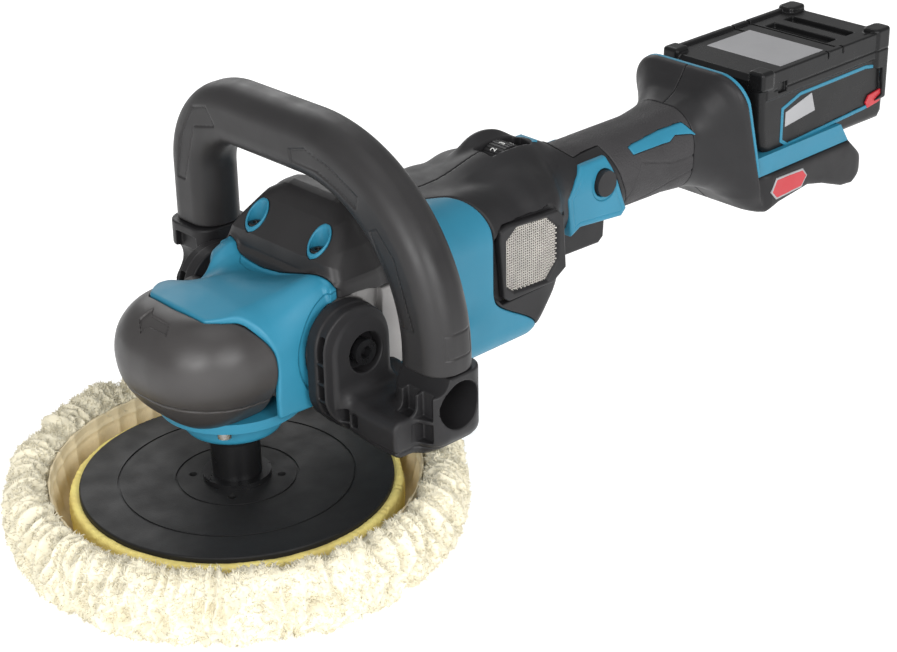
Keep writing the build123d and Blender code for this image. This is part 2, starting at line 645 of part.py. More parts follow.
FRAME_OUTLINE = [(140, 96), (140, 128), (146, 134), (184, 134), (190, 128), (190, 102), (183, 92),
                 (145, 91)]
# Case screws: (x, z, reach of the boss to each side wall)
CASE_SCREWS = [(160, 71.5, 39.5), (203.5, 112, 28), (306, 119, 21.5), (362, 91, 38), (446, 91, 38)]
DIAL_SLOT = ((DIAL_X - 15, -9.5, 128), (DIAL_X + 15, 7.5, 170))
TRIGGER_SLOT = ((214, -9, 88), (266, 9, 104))


def panel_form(points, side, y_in, y_out, mode=Mode.ADD):
    """A flat panel with an outline in (x, z) on one side of the housing."""
    with BuildSketch(Plane.XZ.offset(-side * y_in)) as outline:
        with BuildLine():
            Polyline(*points, close=True)
        make_face()
    extrude(outline.sketch, amount=-side * (y_out - y_in), mode=mode)


with BuildPart() as handle_shell:
    loft_stations(HANDLE_STATIONS)
    # shelf below the battery, with a shallow arch underneath
    block((346, -40, SHELF_LOW), (SHELF_END, 40, SHELF_TOP))
    fillet(handle_shell.edges().filter_by(Axis.Z).filter_by(lambda e: e.center().X > 455), 12)
    side_form([(374, 70), (380, 76), (390, 83), (406, 84), (424, 74), (426, 70)], 60,
              mode=Mode.SUBTRACT)
    # inside of the body, grip and shelf
    loft_stations(HANDLE_STATIONS[:-1], inset=WALL, mode=Mode.SUBTRACT)
    block((BODY_TOP_X - 1, -60, 40), (BODY_TOP_X + WALL, 60, 170), mode=Mode.SUBTRACT)
    side_form([(GUARD_TIP_X, 170), (352.5, 112), (354, SHELF_TOP), (400, SHELF_TOP), (400, 170)], 60,
              mode=Mode.SUBTRACT)
    block((340, -36.5, 87), (SHELF_END - 4, 36.5, SHELF_TOP - WALL), mode=Mode.SUBTRACT)
    # wall between the grip and the battery bay
    with BuildPart(mode=Mode.PRIVATE) as bay_wall:
        loft_stations([station_at(x, HANDLE_STATIONS) for x in (328, 332)], inset=WALL / 2)
        block((320, -10, 104), (340, 10, 120), mode=Mode.SUBTRACT)
    add(bay_wall.part)
    # web that holds the rear rotor bearing
    with BuildSketch(Plane.YZ.offset(149)):
        with Locations((0, BODY_MID)):
            RectangleRounded(BODY_W - 5, BODY_HIGH - BODY_LOW - 5, 20)
        with Locations((0, ROTOR_Z)):
            Circle(11, mode=Mode.SUBTRACT)
        for y in (-26, 26):
            with Locations((y, ROTOR_Z)):
                RectangleRounded(18, 50, 6, mode=Mode.SUBTRACT)
    extrude(amount=9)
    # screw bosses
    for x, z, reach in CASE_SCREWS:
        rod_y(x, z, 4.5, -reach, reach)
    # openings: dial, trigger, mesh windows, side plates, lock button, screws
    block(*DIAL_SLOT, mode=Mode.SUBTRACT)
    block(*TRIGGER_SLOT, mode=Mode.SUBTRACT)
    for side in (-1, 1):
        panel_form(FRAME_OUTLINE, side, 38.5, 45, mode=Mode.SUBTRACT)
        panel_form(PLATE_OUTLINE, side, PLATE_IN, 30, mode=Mode.SUBTRACT)
    rod_y(BUTTON_X, BUTTON_Z, BUTTON_R + 0.3, -30, 30, mode=Mode.SUBTRACT)
    for x, z, reach in CASE_SCREWS:
        rod_y(x, z, 2, -14, 24, mode=Mode.SUBTRACT)
        rod_y(x, z, 4, 17, 50, mode=Mode.SUBTRACT)
    rod_y(TRIGGER_PIVOT_X, TRIGGER_PIVOT_Z, 2, -PLATE_IN, PLATE_IN, mode=Mode.SUBTRACT)
    # seat for the soft grip sleeve
    with BuildPart(mode=Mode.PRIVATE) as sleeve_seat:
        block((SLEEVE_FRONT, -40, 80), (SLEEVE_BACK, 40, 165))
        loft_stations(HANDLE_STATIONS[3:6], inset=SLEEVE_T, mode=Mode.SUBTRACT)
    add(sleeve_seat.part, mode=Mode.SUBTRACT)
    # blue inserts before and behind the dial
    for x in (DIAL_X - 20, DIAL_X + 17):
        block((x, -6, 149), (x + 4, 6, 160), mode=Mode.SUBTRACT)
    side_form(seam_face(front=True, gap=0), 60, mode=Mode.SUBTRACT)

with BuildPart() as handle_left:
    split(handle_shell.part, bisect_by=Plane.XZ, keep=Keep.TOP)
handle_left.part.label = "handle_left"
export_step(handle_left.part, "parts/handle_left.step")

with BuildPart() as handle_right:
    split(handle_shell.part, bisect_by=Plane.XZ, keep=Keep.BOTTOM)
handle_right.part.label = "handle_right"
export_step(handle_right.part, "parts/handle_right.step")

with BuildPart() as grip_sleeve:
    loft_stations(HANDLE_STATIONS[3:6])
    loft_stations(HANDLE_STATIONS[3:6], inset=SLEEVE_T, mode=Mode.SUBTRACT)
    block((200, -40, 80), (SLEEVE_FRONT, 40, 170), mode=Mode.SUBTRACT)
    block((SLEEVE_BACK, -40, 80), (330, 40, 170), mode=Mode.SUBTRACT)
    block((200, -9, 80), (266, 9, 104), mode=Mode.SUBTRACT)
grip_sleeve.part.label = "grip_sleeve"
export_step(grip_sleeve.part, "parts/grip_sleeve.step")

with BuildPart() as case_screws:
    for x, z, reach in CASE_SCREWS:
        rod_y(x, z, 3.6, 17, 20)
        rod_y(x, z, 2, -14, 17)
case_screws.part.label = "case_screws"
export_step(case_screws.part, "parts/case_screws.step")

# ---------------------------------------------------------------- panels on the rear housing
with BuildPart() as mesh_frame_left:
    panel_form(FRAME_OUTLINE, -1, 38.5, 42.8)
    panel_form(MESH_OUTLINE, -1, 38, 43, mode=Mode.SUBTRACT)
mesh_frame_left.part.label = "mesh_frame_left"
export_step(mesh_frame_left.part, "parts/mesh_frame_left.step")

with BuildPart() as mesh_frame_right:
    mirror(mesh_frame_left.part, about=Plane.XZ)
mesh_frame_right.part.label = "mesh_frame_right"
export_step(mesh_frame_right.part, "parts/mesh_frame_right.step")

with BuildPart() as mesh_left:
    panel_form(MESH_OUTLINE, -1, 40.8, 41.8)
mesh_left.part.label = "mesh_left"
export_step(mesh_left.part, "parts/mesh_left.step")

with BuildPart() as mesh_right:
    mirror(mesh_left.part, about=Plane.XZ)
mesh_right.part.label = "mesh_right"
export_step(mesh_right.part, "parts/mesh_right.step")

with BuildPart() as side_plate_left:
    panel_form(PLATE_OUTLINE, -1, PLATE_IN, PLATE_OUT)
    rod_y(BUTTON_X, BUTTON_Z, BUTTON_R + 0.3, -30, 30, mode=Mode.SUBTRACT)
side_plate_left.part.label = "side_plate_left"
export_step(side_plate_left.part, "parts/side_plate_left.step")

with BuildPart() as side_plate_right:
    mirror(side_plate_left.part, about=Plane.XZ)
side_plate_right.part.label = "side_plate_right"
export_step(side_plate_right.part, "parts/side_plate_right.step")

with BuildPart() as dial_inserts:
    for x in (DIAL_X - 20, DIAL_X + 17):
        block((x, -6, 149), (x + 4, 6, 154.5))
dial_inserts.part.label = "dial_inserts"
export_step(dial_inserts.part, "parts/dial_inserts.step")

# ---------------------------------------------------------------- controls
RIDGES = 36
with BuildPart() as speed_dial:
    rod_y(DIAL_X, DIAL_Z, DIAL_R, -7, 5)
    rod_y(DIAL_X, DIAL_Z, 2.5, 5, 12)
    with BuildSketch(Plane(origin=(DIAL_X, 5, DIAL_Z), x_dir=(1, 0, 0), z_dir=(0, -1, 0))):
        with PolarLocations(DIAL_R + 0.1, RIDGES):
            Circle(0.45)
    extrude(amount=12, mode=Mode.SUBTRACT)
speed_dial.part.label = "speed_dial"
export_step(speed_dial.part, "parts/speed_dial.step")

with BuildPart() as dial_encoder:
    block((DIAL_X - 7, 8, DIAL_Z - 8), (DIAL_X + 7, 14, DIAL_Z + 3))
    rod_y(DIAL_X, DIAL_Z, 2.5 + FIT, 7, 15, mode=Mode.SUBTRACT)
dial_encoder.part.label = "dial_encoder"
export_step(dial_encoder.part, "parts/dial_encoder.step")

with BuildPart() as controller:
    block((161, -24, 85), (190, 24, 124))
    with Locations((175.5, 0, 124)):
        for x in (-12, -6, 0, 6, 12):
            with Locations((x, 0, 0)):
                Box(2.5, 40, 8)
controller.part.label = "controller"
export_step(controller.part, "parts/controller.step")

with BuildPart() as switch_body:
    block((262, -12, 104), (294, 12, 131))
    block((258, -4, 106), (262, 4, 112))
switch_body.part.label = "switch_body"
export_step(switch_body.part, "parts/switch_body.step")

with BuildPart() as trigger:
    side_form([(217, 98), (217, 84), (221, 81), (255, 80), (259, 83), (260, 97), (252, 101),
               (226, 107), (218, 107)], 8)
    fillet(trigger.edges().filter_by(Axis.X, reverse=True).filter_by(
        lambda e: abs(e.center().Y) > 7.9 and e.center().Z < 99), 2)
    rod_y(TRIGGER_PIVOT_X, TRIGGER_PIVOT_Z, 2 + FIT, -9, 9, mode=Mode.SUBTRACT)
trigger.part.label = "trigger"
export_step(trigger.part, "parts/trigger.step")

with BuildPart() as trigger_pin:
    rod_y(TRIGGER_PIVOT_X, TRIGGER_PIVOT_Z, 2, -20.2, 20.2)
trigger_pin.part.label = "trigger_pin"
export_step(trigger_pin.part, "parts/trigger_pin.step")

with BuildPart() as lock_button:
    rod_y(BUTTON_X, BUTTON_Z, BUTTON_R, -25.2, 21)
    rod_y(BUTTON_X, BUTTON_Z, BUTTON_R - 2.5, -8, 8, mode=Mode.SUBTRACT)
    rod_y(BUTTON_X, BUTTON_Z, BUTTON_R - 3.5, -9, 9)
lock_button.part.label = "lock_button"
export_step(lock_button.part, "parts/lock_button.step")

# Shaft lock: a sprung pin on the right side, pressed in towards the spindle's notches
LOCK_PIN_R = 2.3
with BuildPart() as shaft_lock:
    rod_y(0, LOCK_Z, LOCK_PIN_R, 15.6, 38)
    rod_y(0, LOCK_Z, 4.1, 38, 50)
    fillet(shaft_lock.edges().filter_by(GeomType.CIRCLE).sort_by(Axis.Y)[-1], 1)
shaft_lock.part.label = "shaft_lock"
export_step(shaft_lock.part, "parts/shaft_lock.step")

# ---------------------------------------------------------------- battery bay
with BuildPart() as battery_rails:
    for side in (-1, 1):
        block((356, min(side * 28, side * 31), SHELF_TOP), (440, max(side * 28, side * 31), 110))
        block((356, min(side * 24.2, side * 28), 106), (440, max(side * 24.2, side * 28), 109))
battery_rails.part.label = "battery_rails"
export_step(battery_rails.part, "parts/battery_rails.step")

with BuildPart() as rail_trim:
    for side in (-1, 1):
        with BuildSketch(Plane.XZ.offset(-side * 31)) as trim:
            with BuildLine():
                Polyline((355, SHELF_TOP), (355, 110), (434, 110), (442, SHELF_TOP), close=True)
            make_face()
        extrude(trim.sketch, amount=-side * 7)
rail_trim.part.label = "rail_trim"
export_step(rail_trim.part, "parts/rail_trim.step")

with BuildPart() as terminal_block:
    block((362, -19, SHELF_TOP), (438, 19, 105))
    for y in (-12, 0, 12):
        block((390, y - 0.6, 101), (420, y + 0.6, 106), mode=Mode.SUBTRACT)
terminal_block.part.label = "terminal_block"
export_step(terminal_block.part, "parts/terminal_block.step")

with BuildPart() as terminals:
    for y in (-12, 0, 12):
        block((390, y - 0.6, 101), (420, y + 0.6, 107.5))
terminals.part.label = "terminals"
export_step(terminals.part, "parts/terminals.step")

# ---------------------------------------------------------------- battery
SPLIT_Z = 128.0
with BuildPart() as battery_base:
    block((BATT_X, -BATT_HALF, BATT_LOW), (BATT_END - 3, BATT_HALF, SPLIT_Z))
    fillet(battery_base.edges().filter_by(Axis.Z), 4)
    block((BATT_X + 4, -NECK_HALF, NECK_LOW), (BATT_END - 8, NECK_HALF, BATT_LOW))
    for side in (-1, 1):
        block((BATT_X, min(side * 23.5, side * 40), 105.5),
              (BATT_END, max(side * 23.5, side * 40), 109.5), mode=Mode.SUBTRACT)
    block((BATT_X, -20, 100), (446, 20, 110), mode=Mode.SUBTRACT)
    block((BATT_X + 3, -BATT_HALF + 3, 118), (BATT_END - 14, BATT_HALF - 3, SPLIT_Z + 1),
          mode=Mode.SUBTRACT)
    block((469, -16.5, 100), (490, 16.5, SPLIT_Z + 1), mode=Mode.SUBTRACT)
battery_base.part.label = "battery_base"
export_step(battery_base.part, "parts/battery_base.step")

with BuildPart() as battery_case:
    block((BATT_X, -BATT_HALF, SPLIT_Z), (BATT_END - 3, BATT_HALF, BATT_HIGH - 1))
    fillet(battery_case.edges().filter_by(Axis.Z), 4)
    fillet(battery_case.edges().group_by(Axis.Z)[-1], 3)
    for side in (-1, 1):
        for x_from, x_to in ((BATT_X + 1, BATT_X + 15), (BATT_END - 15, BATT_END)):
            block((x_from, min(side * 24, side * 37), 140),
                  (x_to, max(side * 24, side * 37), BATT_HIGH))
    for x in (438, 456):
        block((x, -24, BATT_HIGH - 4), (x + 9, 24, BATT_HIGH + 1), mode=Mode.SUBTRACT)
    block((BATT_X + 3, -BATT_HALF + 3, SPLIT_Z - 1), (BATT_END - 14, BATT_HALF - 3, BATT_HIGH - 5),
          mode=Mode.SUBTRACT)
    block((469, -16.5, 120), (490, 16.5, 136), mode=Mode.SUBTRACT)
battery_case.part.label = "battery_case"
export_step(battery_case.part, "parts/battery_case.step")

CELL_R = 10.5
with BuildPart() as cells:
    for n in range(4):
        rod_y(BATT_X + 15 + n * 22, 141 - 5.5, CELL_R, -32, 32)
cells.part.label = "cells"
export_step(cells.part, "parts/cells.step")

with BuildPart() as battery_button:
    block((470, -15.5, 114), (477, 15.5, 129))
    block((477, -9, 119), (480, 9, 123))
battery_button.part.label = "battery_button"
export_step(battery_button.part, "parts/battery_button.step")

# ---------------------------------------------------------------- loop handle
LOOP_SIDES = ((-1, LEFT_LEG_Y, LEFT_JOINT_Z), (1, RIGHT_LEG_Y, RIGHT_JOINT_Z))
BRACKET_FRONT = 12.0
BRACKET_BACK = 54.0
BRACKET_TOP = 132.0
BRACKET_LOW = 72.0
ARM_FRONT = 24.0
ARM_BACK = 66.0
ARM_TOP = 89.0
ROD_SINK = 2.0
POCKET_PITCH = 11.5


def loop_path(sink=0.0):
    """Centre line of the loop, from the left joint over the top to the right joint."""
    return FilletPolyline(
        (LOOP_X, LEFT_LEG_Y, LEFT_JOINT_Z - sink), (LOOP_X, LEFT_LEG_Y, LOOP_Z),
        (LOOP_X, RIGHT_LEG_Y, LOOP_Z), (LOOP_X, RIGHT_LEG_Y, RIGHT_JOINT_Z - sink),
        radius=[LEFT_CORNER, RIGHT_CORNER])


def side_block(side, x_range, y_range, z_range, mode=Mode.ADD):
    """Block whose y range is counted outwards from the middle plane."""
    y_from, y_to = sorted(side * y for y in y_range)
    block((x_range[0], y_from, z_range[0]), (x_range[1], y_to, z_range[1]), mode=mode)


with BuildPart() as loop_frame:
    for side, leg_y, joint_z in LOOP_SIDES:
        # bracket plate round the pivot bolt
        with BuildSketch(Plane.XZ.offset(-side * BRACKET_IN)) as plate:
            with Locations(((BRACKET_FRONT + BRACKET_BACK) / 2, (BRACKET_LOW + BRACKET_TOP) / 2)):
                RectangleRounded(BRACKET_BACK - BRACKET_FRONT, BRACKET_TOP - BRACKET_LOW, 20)
        extrude(plate.sketch, amount=-side * (BRACKET_OUT - BRACKET_IN))
        # arm out to the leg
        side_block(side, (ARM_FRONT, ARM_BACK), (BRACKET_FLOOR, abs(leg_y) - 6),
                   (LOOP_BASE_Z + 1, ARM_TOP))
        # leg base
        with BuildSketch(Plane.XY.offset(LOOP_BASE_Z)) as foot:
            with Locations((LOOP_X, leg_y)):
                RectangleRounded(GRIP_TUBE_X + 6, GRIP_TUBE_Y, 12)
        extrude(foot.sketch, amount=joint_z - LOOP_BASE_Z)
        # bolt recess and hole
        rod_y(PIVOT_X, PIVOT_Z, 9.8, side * BRACKET_FLOOR, side * 70, mode=Mode.SUBTRACT)
        rod_y(PIVOT_X, PIVOT_Z, 4 + FIT, side * 40, side * 60, mode=Mode.SUBTRACT)
        # wrench hole in the leg's outer face
        rod_y(LOOP_X, 90, WRENCH_HOLE_R, leg_y - side * 8, side * 120, mode=Mode.SUBTRACT)
        # ladder of pockets down the bracket's front edge
        for n in range(3):
            z = 86 + n * POCKET_PITCH
            side_block(side, (BRACKET_FRONT - 1, BRACKET_FRONT + 5), (50, 56), (z, z + 9),
                       mode=Mode.SUBTRACT)
    # rod through the soft grip
    with BuildLine() as rod_line:
        loop_path(ROD_SINK)
    with BuildSketch(Plane.XY.offset(LEFT_JOINT_Z - ROD_SINK)) as rod_section:
        with Locations((LOOP_X, LEFT_LEG_Y)):
            Circle(CORE_ROD_R)
    sweep(rod_section.sketch, path=rod_line.line)
loop_frame.part.label = "loop_frame"
export_step(loop_frame.part, "parts/loop_frame.step")

with BuildPart() as loop_grip:
    with BuildLine() as grip_line:
        loop_path()
    with BuildSketch(Plane.XY.offset(LEFT_JOINT_Z)):
        with Locations((LOOP_X, LEFT_LEG_Y)):
            RectangleRounded(GRIP_TUBE_X, GRIP_TUBE_Y, 12)
            Circle(CORE_ROD_R, mode=Mode.SUBTRACT)
    sweep(path=grip_line.line)
loop_grip.part.label = "loop_grip"
export_step(loop_grip.part, "parts/loop_grip.step")

with BuildPart() as handle_bolts:
    for side in (-1, 1):
        rod_y(PIVOT_X, PIVOT_Z, 4, side * 26, side * 50)
        rod_y(PIVOT_X, PIVOT_Z, 6.5, side * 50, side * 57)
        with BuildSketch(Plane.XZ.offset(-side * 57)):
            with Locations((PIVOT_X, PIVOT_Z)):
                RegularPolygon(3.4, 6)
        extrude(amount=side * 4, mode=Mode.SUBTRACT)
handle_bolts.part.label = "handle_bolts"
export_step(handle_bolts.part, "parts/handle_bolts.step")

with BuildPart() as handle_washers:
    for side in (-1, 1):
        rod_y(PIVOT_X, PIVOT_Z, 12.5, side * 43, side * 43.8)
        rod_y(PIVOT_X, PIVOT_Z, 4, side * 42, side * 45, mode=Mode.SUBTRACT)
handle_washers.part.label = "handle_washers"
export_step(handle_washers.part, "parts/handle_washers.step")
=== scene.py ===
"""Cordless rotary polisher: the looks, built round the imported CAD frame.

Shapes are written as signed distances in millimetres, in the row's frame, and meshed.
"""
import json
import math

import bpy
import numpy as np
from mathutils import Matrix, Vector


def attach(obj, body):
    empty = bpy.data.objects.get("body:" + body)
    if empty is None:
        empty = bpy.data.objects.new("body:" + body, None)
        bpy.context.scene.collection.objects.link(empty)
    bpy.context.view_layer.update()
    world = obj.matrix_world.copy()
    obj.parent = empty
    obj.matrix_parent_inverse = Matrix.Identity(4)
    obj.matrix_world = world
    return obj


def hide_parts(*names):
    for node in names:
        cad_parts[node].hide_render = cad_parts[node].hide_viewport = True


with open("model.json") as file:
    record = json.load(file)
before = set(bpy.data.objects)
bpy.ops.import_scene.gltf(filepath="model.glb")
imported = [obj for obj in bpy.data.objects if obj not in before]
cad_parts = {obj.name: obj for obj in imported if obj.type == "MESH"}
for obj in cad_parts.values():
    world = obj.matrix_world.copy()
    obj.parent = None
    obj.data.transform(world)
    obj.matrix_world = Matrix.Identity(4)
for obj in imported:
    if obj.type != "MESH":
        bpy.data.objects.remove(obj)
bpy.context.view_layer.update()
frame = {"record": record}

MM = 0.001


# ---- distance toolkit
def smin(a, b, k):
    """Union of two distances with a rounded inner corner."""
    h = np.maximum(k - np.abs(a - b), 0) / k
    return np.minimum(a, b) - h * h * k * 0.25


def smax(a, b, k):
    """Intersection of two distances with a rounded edge."""
    return -smin(-a, -b, k)


def cut(a, b, k):
    """a with b taken away, its edge rounded."""
    return smax(a, -b, k)


def rect(u, v, half_u, half_v, corner):
    """Rounded rectangle."""
    qu = np.abs(u) - half_u + corner
    qv = np.abs(v) - half_v + corner
    return np.hypot(np.maximum(qu, 0), np.maximum(qv, 0)) + np.minimum(np.maximum(qu, qv), 0) - corner


def span(w, low, high):
    """Slab between two planes."""
    return np.abs(w - (low + high) / 2) - (high - low) / 2


def box(p, low, high, corner):
    """Rounded box between two corners."""
    q = [np.abs(c - (a + b) / 2) - (b - a) / 2 + corner for c, a, b in zip(p, low, high)]
    outside = np.sqrt(sum(np.maximum(c, 0) ** 2 for c in q))
    return outside + np.minimum(np.maximum(np.maximum(q[0], q[1]), q[2]), 0) - corner


def polygon(u, v, points):
    """Exact distance to a polygon in the (u, v) plane."""
    u, v = np.broadcast_arrays(u, v)
    best = np.full(u.shape, 1e9)
    inside = np.zeros(u.shape, bool)
    for (au, av), (bu, bv) in zip(points, points[1:] + points[:1]):
        eu, ev = bu - au, bv - av
        t = np.clip(((u - au) * eu + (v - av) * ev) / (eu * eu + ev * ev), 0, 1)
        best = np.minimum(best, np.hypot(u - au - t * eu, v - av - t * ev))
        crosses = (av > v) != (bv > v)
        reach = (v - av) * eu / (ev if ev else 1e-9) + au
        inside ^= crosses & (u < reach)
    return np.where(inside, -best, best)


def bar(u, v, w, radius, low, high, k=0.8):
    """Round bar along w."""
    return smax(np.hypot(u, v) - radius, span(w, low, high), k)


def noise(p, scale, seed=0):
    """Cheap smooth noise from -1 to 1: a sum of turned sine waves."""
    turn = np.random.default_rng(seed)
    total = 0
    for _ in range(7):
        d = turn.normal(size=3)
        d *= 2 * math.pi / scale / np.linalg.norm(d) * turn.uniform(0.7, 1.4)
        total = total + np.sin(d[0] * p[0] + d[1] * p[1] + d[2] * p[2] + turn.uniform(0, 6.3))
    return total / 3.2


# ---- meshing
def surface_nets(values):
    """Dual mesh of a grid's zero surface: vertices in grid units, and quads."""
    inside = values < 0
    corners = [(i, j, k) for i in (0, 1) for j in (0, 1) for k in (0, 1)]
    nx, ny, nz = (n - 1 for n in values.shape)
    full = np.ones((nx, ny, nz), bool)
    empty = np.ones((nx, ny, nz), bool)
    for i, j, k in corners:
        part = inside[i:i + nx, j:j + ny, k:k + nz]
        full &= part
        empty &= ~part
    cells = np.argwhere(~(full | empty))
    index = np.full((nx, ny, nz), -1, np.int64)
    index[tuple(cells.T)] = np.arange(len(cells))
    at = [values[cells[:, 0] + i, cells[:, 1] + j, cells[:, 2] + k] for i, j, k in corners]
    total = np.zeros((len(cells), 3))
    count = np.zeros(len(cells))
    for a, ca in enumerate(corners):
        for b, cb in enumerate(corners):
            if b <= a or sum(abs(m - n) for m, n in zip(ca, cb)) != 1:
                continue
            crosses = (at[a] < 0) != (at[b] < 0)
            t = np.where(crosses, at[a] / np.where(crosses, at[a] - at[b], 1), 0)
            step = np.array(cb) - np.array(ca)
            total += np.where(crosses[:, None], np.array(ca) + t[:, None] * step, 0)
            count += crosses
    points = cells + total / count[:, None]
    quads = []
    for axis in range(3):
        low = [slice(1, -1)] * 3
        high = [slice(1, -1)] * 3
        low[axis] = slice(0, -1)
        high[axis] = slice(1, None)
        a, b = inside[tuple(low)], inside[tuple(high)]
        o1, o2 = [i for i in range(3) if i != axis]
        for flip, edges in ((False, a & ~b), (True, ~a & b)):
            e = np.argwhere(edges)
            e[:, o1] += 1
            e[:, o2] += 1
            ring = []
            for s1, s2 in ((-1, -1), (0, -1), (0, 0), (-1, 0)):
                c = e.copy()
                c[:, o1] += s1
                c[:, o2] += s2
                ring.append(index[tuple(c.T)])
            if flip != (axis == 1):
                ring.reverse()
            quads.append(np.stack(ring, 1))
    return points, np.concatenate(quads)


def gradient(shape, points, reach=0.15):
    """Direction in which the distance grows, at each point."""
    slopes = []
    for axis in range(3):
        ahead, behind = points.copy(), points.copy()
        ahead[:, axis] += reach
        behind[:, axis] -= reach
        slopes.append((shape(*ahead.T) - shape(*behind.T)) / (2 * reach))
    return np.stack(slopes, 1)


def mesh_object(name, points, faces, normals=None):
    """Object from points in millimetres."""
    mesh = bpy.data.meshes.new(name)
    mesh.vertices.add(len(points))
    mesh.vertices.foreach_set("co", (points * MM).astype(np.float32).ravel())
    size = faces.shape[1]
    mesh.loops.add(faces.size)
    mesh.loops.foreach_set("vertex_index", faces.astype(np.int32).ravel())
    mesh.polygons.add(len(faces))
    mesh.polygons.foreach_set("loop_start", np.arange(0, faces.size, size, dtype=np.int32))
    mesh.polygons.foreach_set("loop_total", np.full(len(faces), size, np.int32))
    mesh.update(calc_edges=True)
    mesh.validate()
    mesh.shade_smooth()
    if normals is not None:
        mesh.normals_split_custom_set_from_vertices(normals.tolist())
    obj = bpy.data.objects.new(name, mesh)
    bpy.context.scene.collection.objects.link(obj)
    return obj


def carve(name, shape, low, high, step):
    """Mesh of a distance function of (x, y, z) inside a box, drawn onto the true surface."""
    axes = [np.arange(a - 2.4 * step, b + 3.4 * step, step) for a, b in zip(low, high)]
    grid = np.meshgrid(*axes, indexing="ij", sparse=True)
    values = np.broadcast_to(shape(*grid), [len(a) for a in axes]).astype(np.float32)
    points, quads = surface_nets(values)
    points = points * step + np.array([a[0] for a in axes])
    for _ in range(2):
        slope = gradient(shape, points)
        length = np.maximum((slope ** 2).sum(1), 0.2)
        move = shape(*points.T) / length
        points -= np.clip(move, -0.5 * step, 0.5 * step)[:, None] * slope
    slope = gradient(shape, points)
    normals = slope / np.maximum(np.linalg.norm(slope, axis=1), 1e-6)[:, None]
    return mesh_object(name, points, quads, normals)


def place(obj, body, material, slot, *nodes):
    """Gives a piece its material and body, and hides the CAD nodes that it stands for. The slot is
    not used.
    """
    obj.data.materials.clear()
    obj.data.materials.append(material)
    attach(obj, body)
    if nodes:
        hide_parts(*nodes)
    return obj


def piece(shape, low, high, step, *rest):
    """Meshes a shape and places it under the shape's own name."""
    return place(carve(shape.__name__, shape, low, high, step), *rest)


def flow(x, stations):
    """Smooth value along x through (x, value) stations, with no overshoot."""
    at, value = (np.array(row, float) for row in zip(*stations))
    step = np.diff(at)
    secant = np.diff(value) / step
    slope = np.concatenate(([secant[0]], np.zeros(len(at) - 2), [secant[-1]]))
    ahead, behind = secant[1:], secant[:-1]
    same = ahead * behind > 0
    slope[1:-1][same] = 2 * (ahead * behind)[same] / (ahead + behind)[same]
    i = np.clip(np.searchsorted(at, x) - 1, 0, len(at) - 2)
    t = np.clip((x - at[i]) / step[i], 0, 1)
    return (value[i] * (1 + 2 * t) * (1 - t) ** 2 + slope[i] * step[i] * t * (1 - t) ** 2
            + value[i + 1] * t * t * (3 - 2 * t) + slope[i + 1] * step[i] * t * t * (t - 1))


def ramp(x, low, high):
    """Smooth 0 to 1 between two values."""
    t = np.clip((x - low) / (high - low), 0, 1)
    return t * t * (3 - 2 * t)


# ---- materials
def material(name, colour, rough, grain=0.4, bump=0.1, spread=0.15, metal=0.0, patch=30.0,
             sheen=0.0, specular=0.5, streaks=None):
    """Procedural material: mottled colour and roughness, and a fine grain in the bump."""
    mat = bpy.data.materials.new(name)
    mat.use_nodes = True
    nodes, links = mat.node_tree.nodes, mat.node_tree.links
    shader = nodes["Principled BSDF"]
    shader.inputs["Metallic"].default_value = metal
    shader.inputs["Specular IOR Level"].default_value = specular
    shader.inputs["Sheen Weight"].default_value = sheen
    where = nodes.new("ShaderNodeTexCoord").outputs["Object"]
    if streaks:
        mapping = nodes.new("ShaderNodeMapping")
        mapping.inputs["Scale"].default_value = streaks
        links.new(where, mapping.inputs["Vector"])
        where = mapping.outputs["Vector"]

    def cloud(size_mm, detail, source=where):
        tex = nodes.new("ShaderNodeTexNoise")
        tex.inputs["Scale"].default_value = 1 / (size_mm * MM)
        tex.inputs["Detail"].default_value = detail
        links.new(source, tex.inputs["Vector"])
        return tex.outputs["Fac"]

    def spread_map(source, low, high):
        node = nodes.new("ShaderNodeMapRange")
        node.inputs["From Min"].default_value = 0.3
        node.inputs["From Max"].default_value = 0.7
        node.inputs["To Min"].default_value = low
        node.inputs["To Max"].default_value = high
        links.new(source, node.inputs["Value"])
        return node.outputs["Result"]

    mottle = cloud(patch, 5)
    mix = nodes.new("ShaderNodeMix")
    mix.data_type = "RGBA"
    dark = [c * (1 - spread) for c in colour]
    light = [min(1, c * (1 + spread)) for c in colour]
    mix.inputs["A"].default_value = (*dark, 1)
    mix.inputs["B"].default_value = (*light, 1)
    links.new(spread_map(mottle, 0, 1), mix.inputs["Factor"])
    links.new(mix.outputs["Result"], shader.inputs["Base Color"])
    smears = cloud(patch * 0.4, 6)
    links.new(spread_map(smears, max(rough - 0.07, 0.05), min(rough + 0.07, 1)),
              shader.inputs["Roughness"])
    node = nodes.new("ShaderNodeBump")
    node.inputs["Strength"].default_value = bump
    node.inputs["Distance"].default_value = grain * MM * 0.5
    links.new(cloud(grain, 3), node.inputs["Height"])
    links.new(node.outputs["Normal"], shader.inputs["Normal"])
    return mat


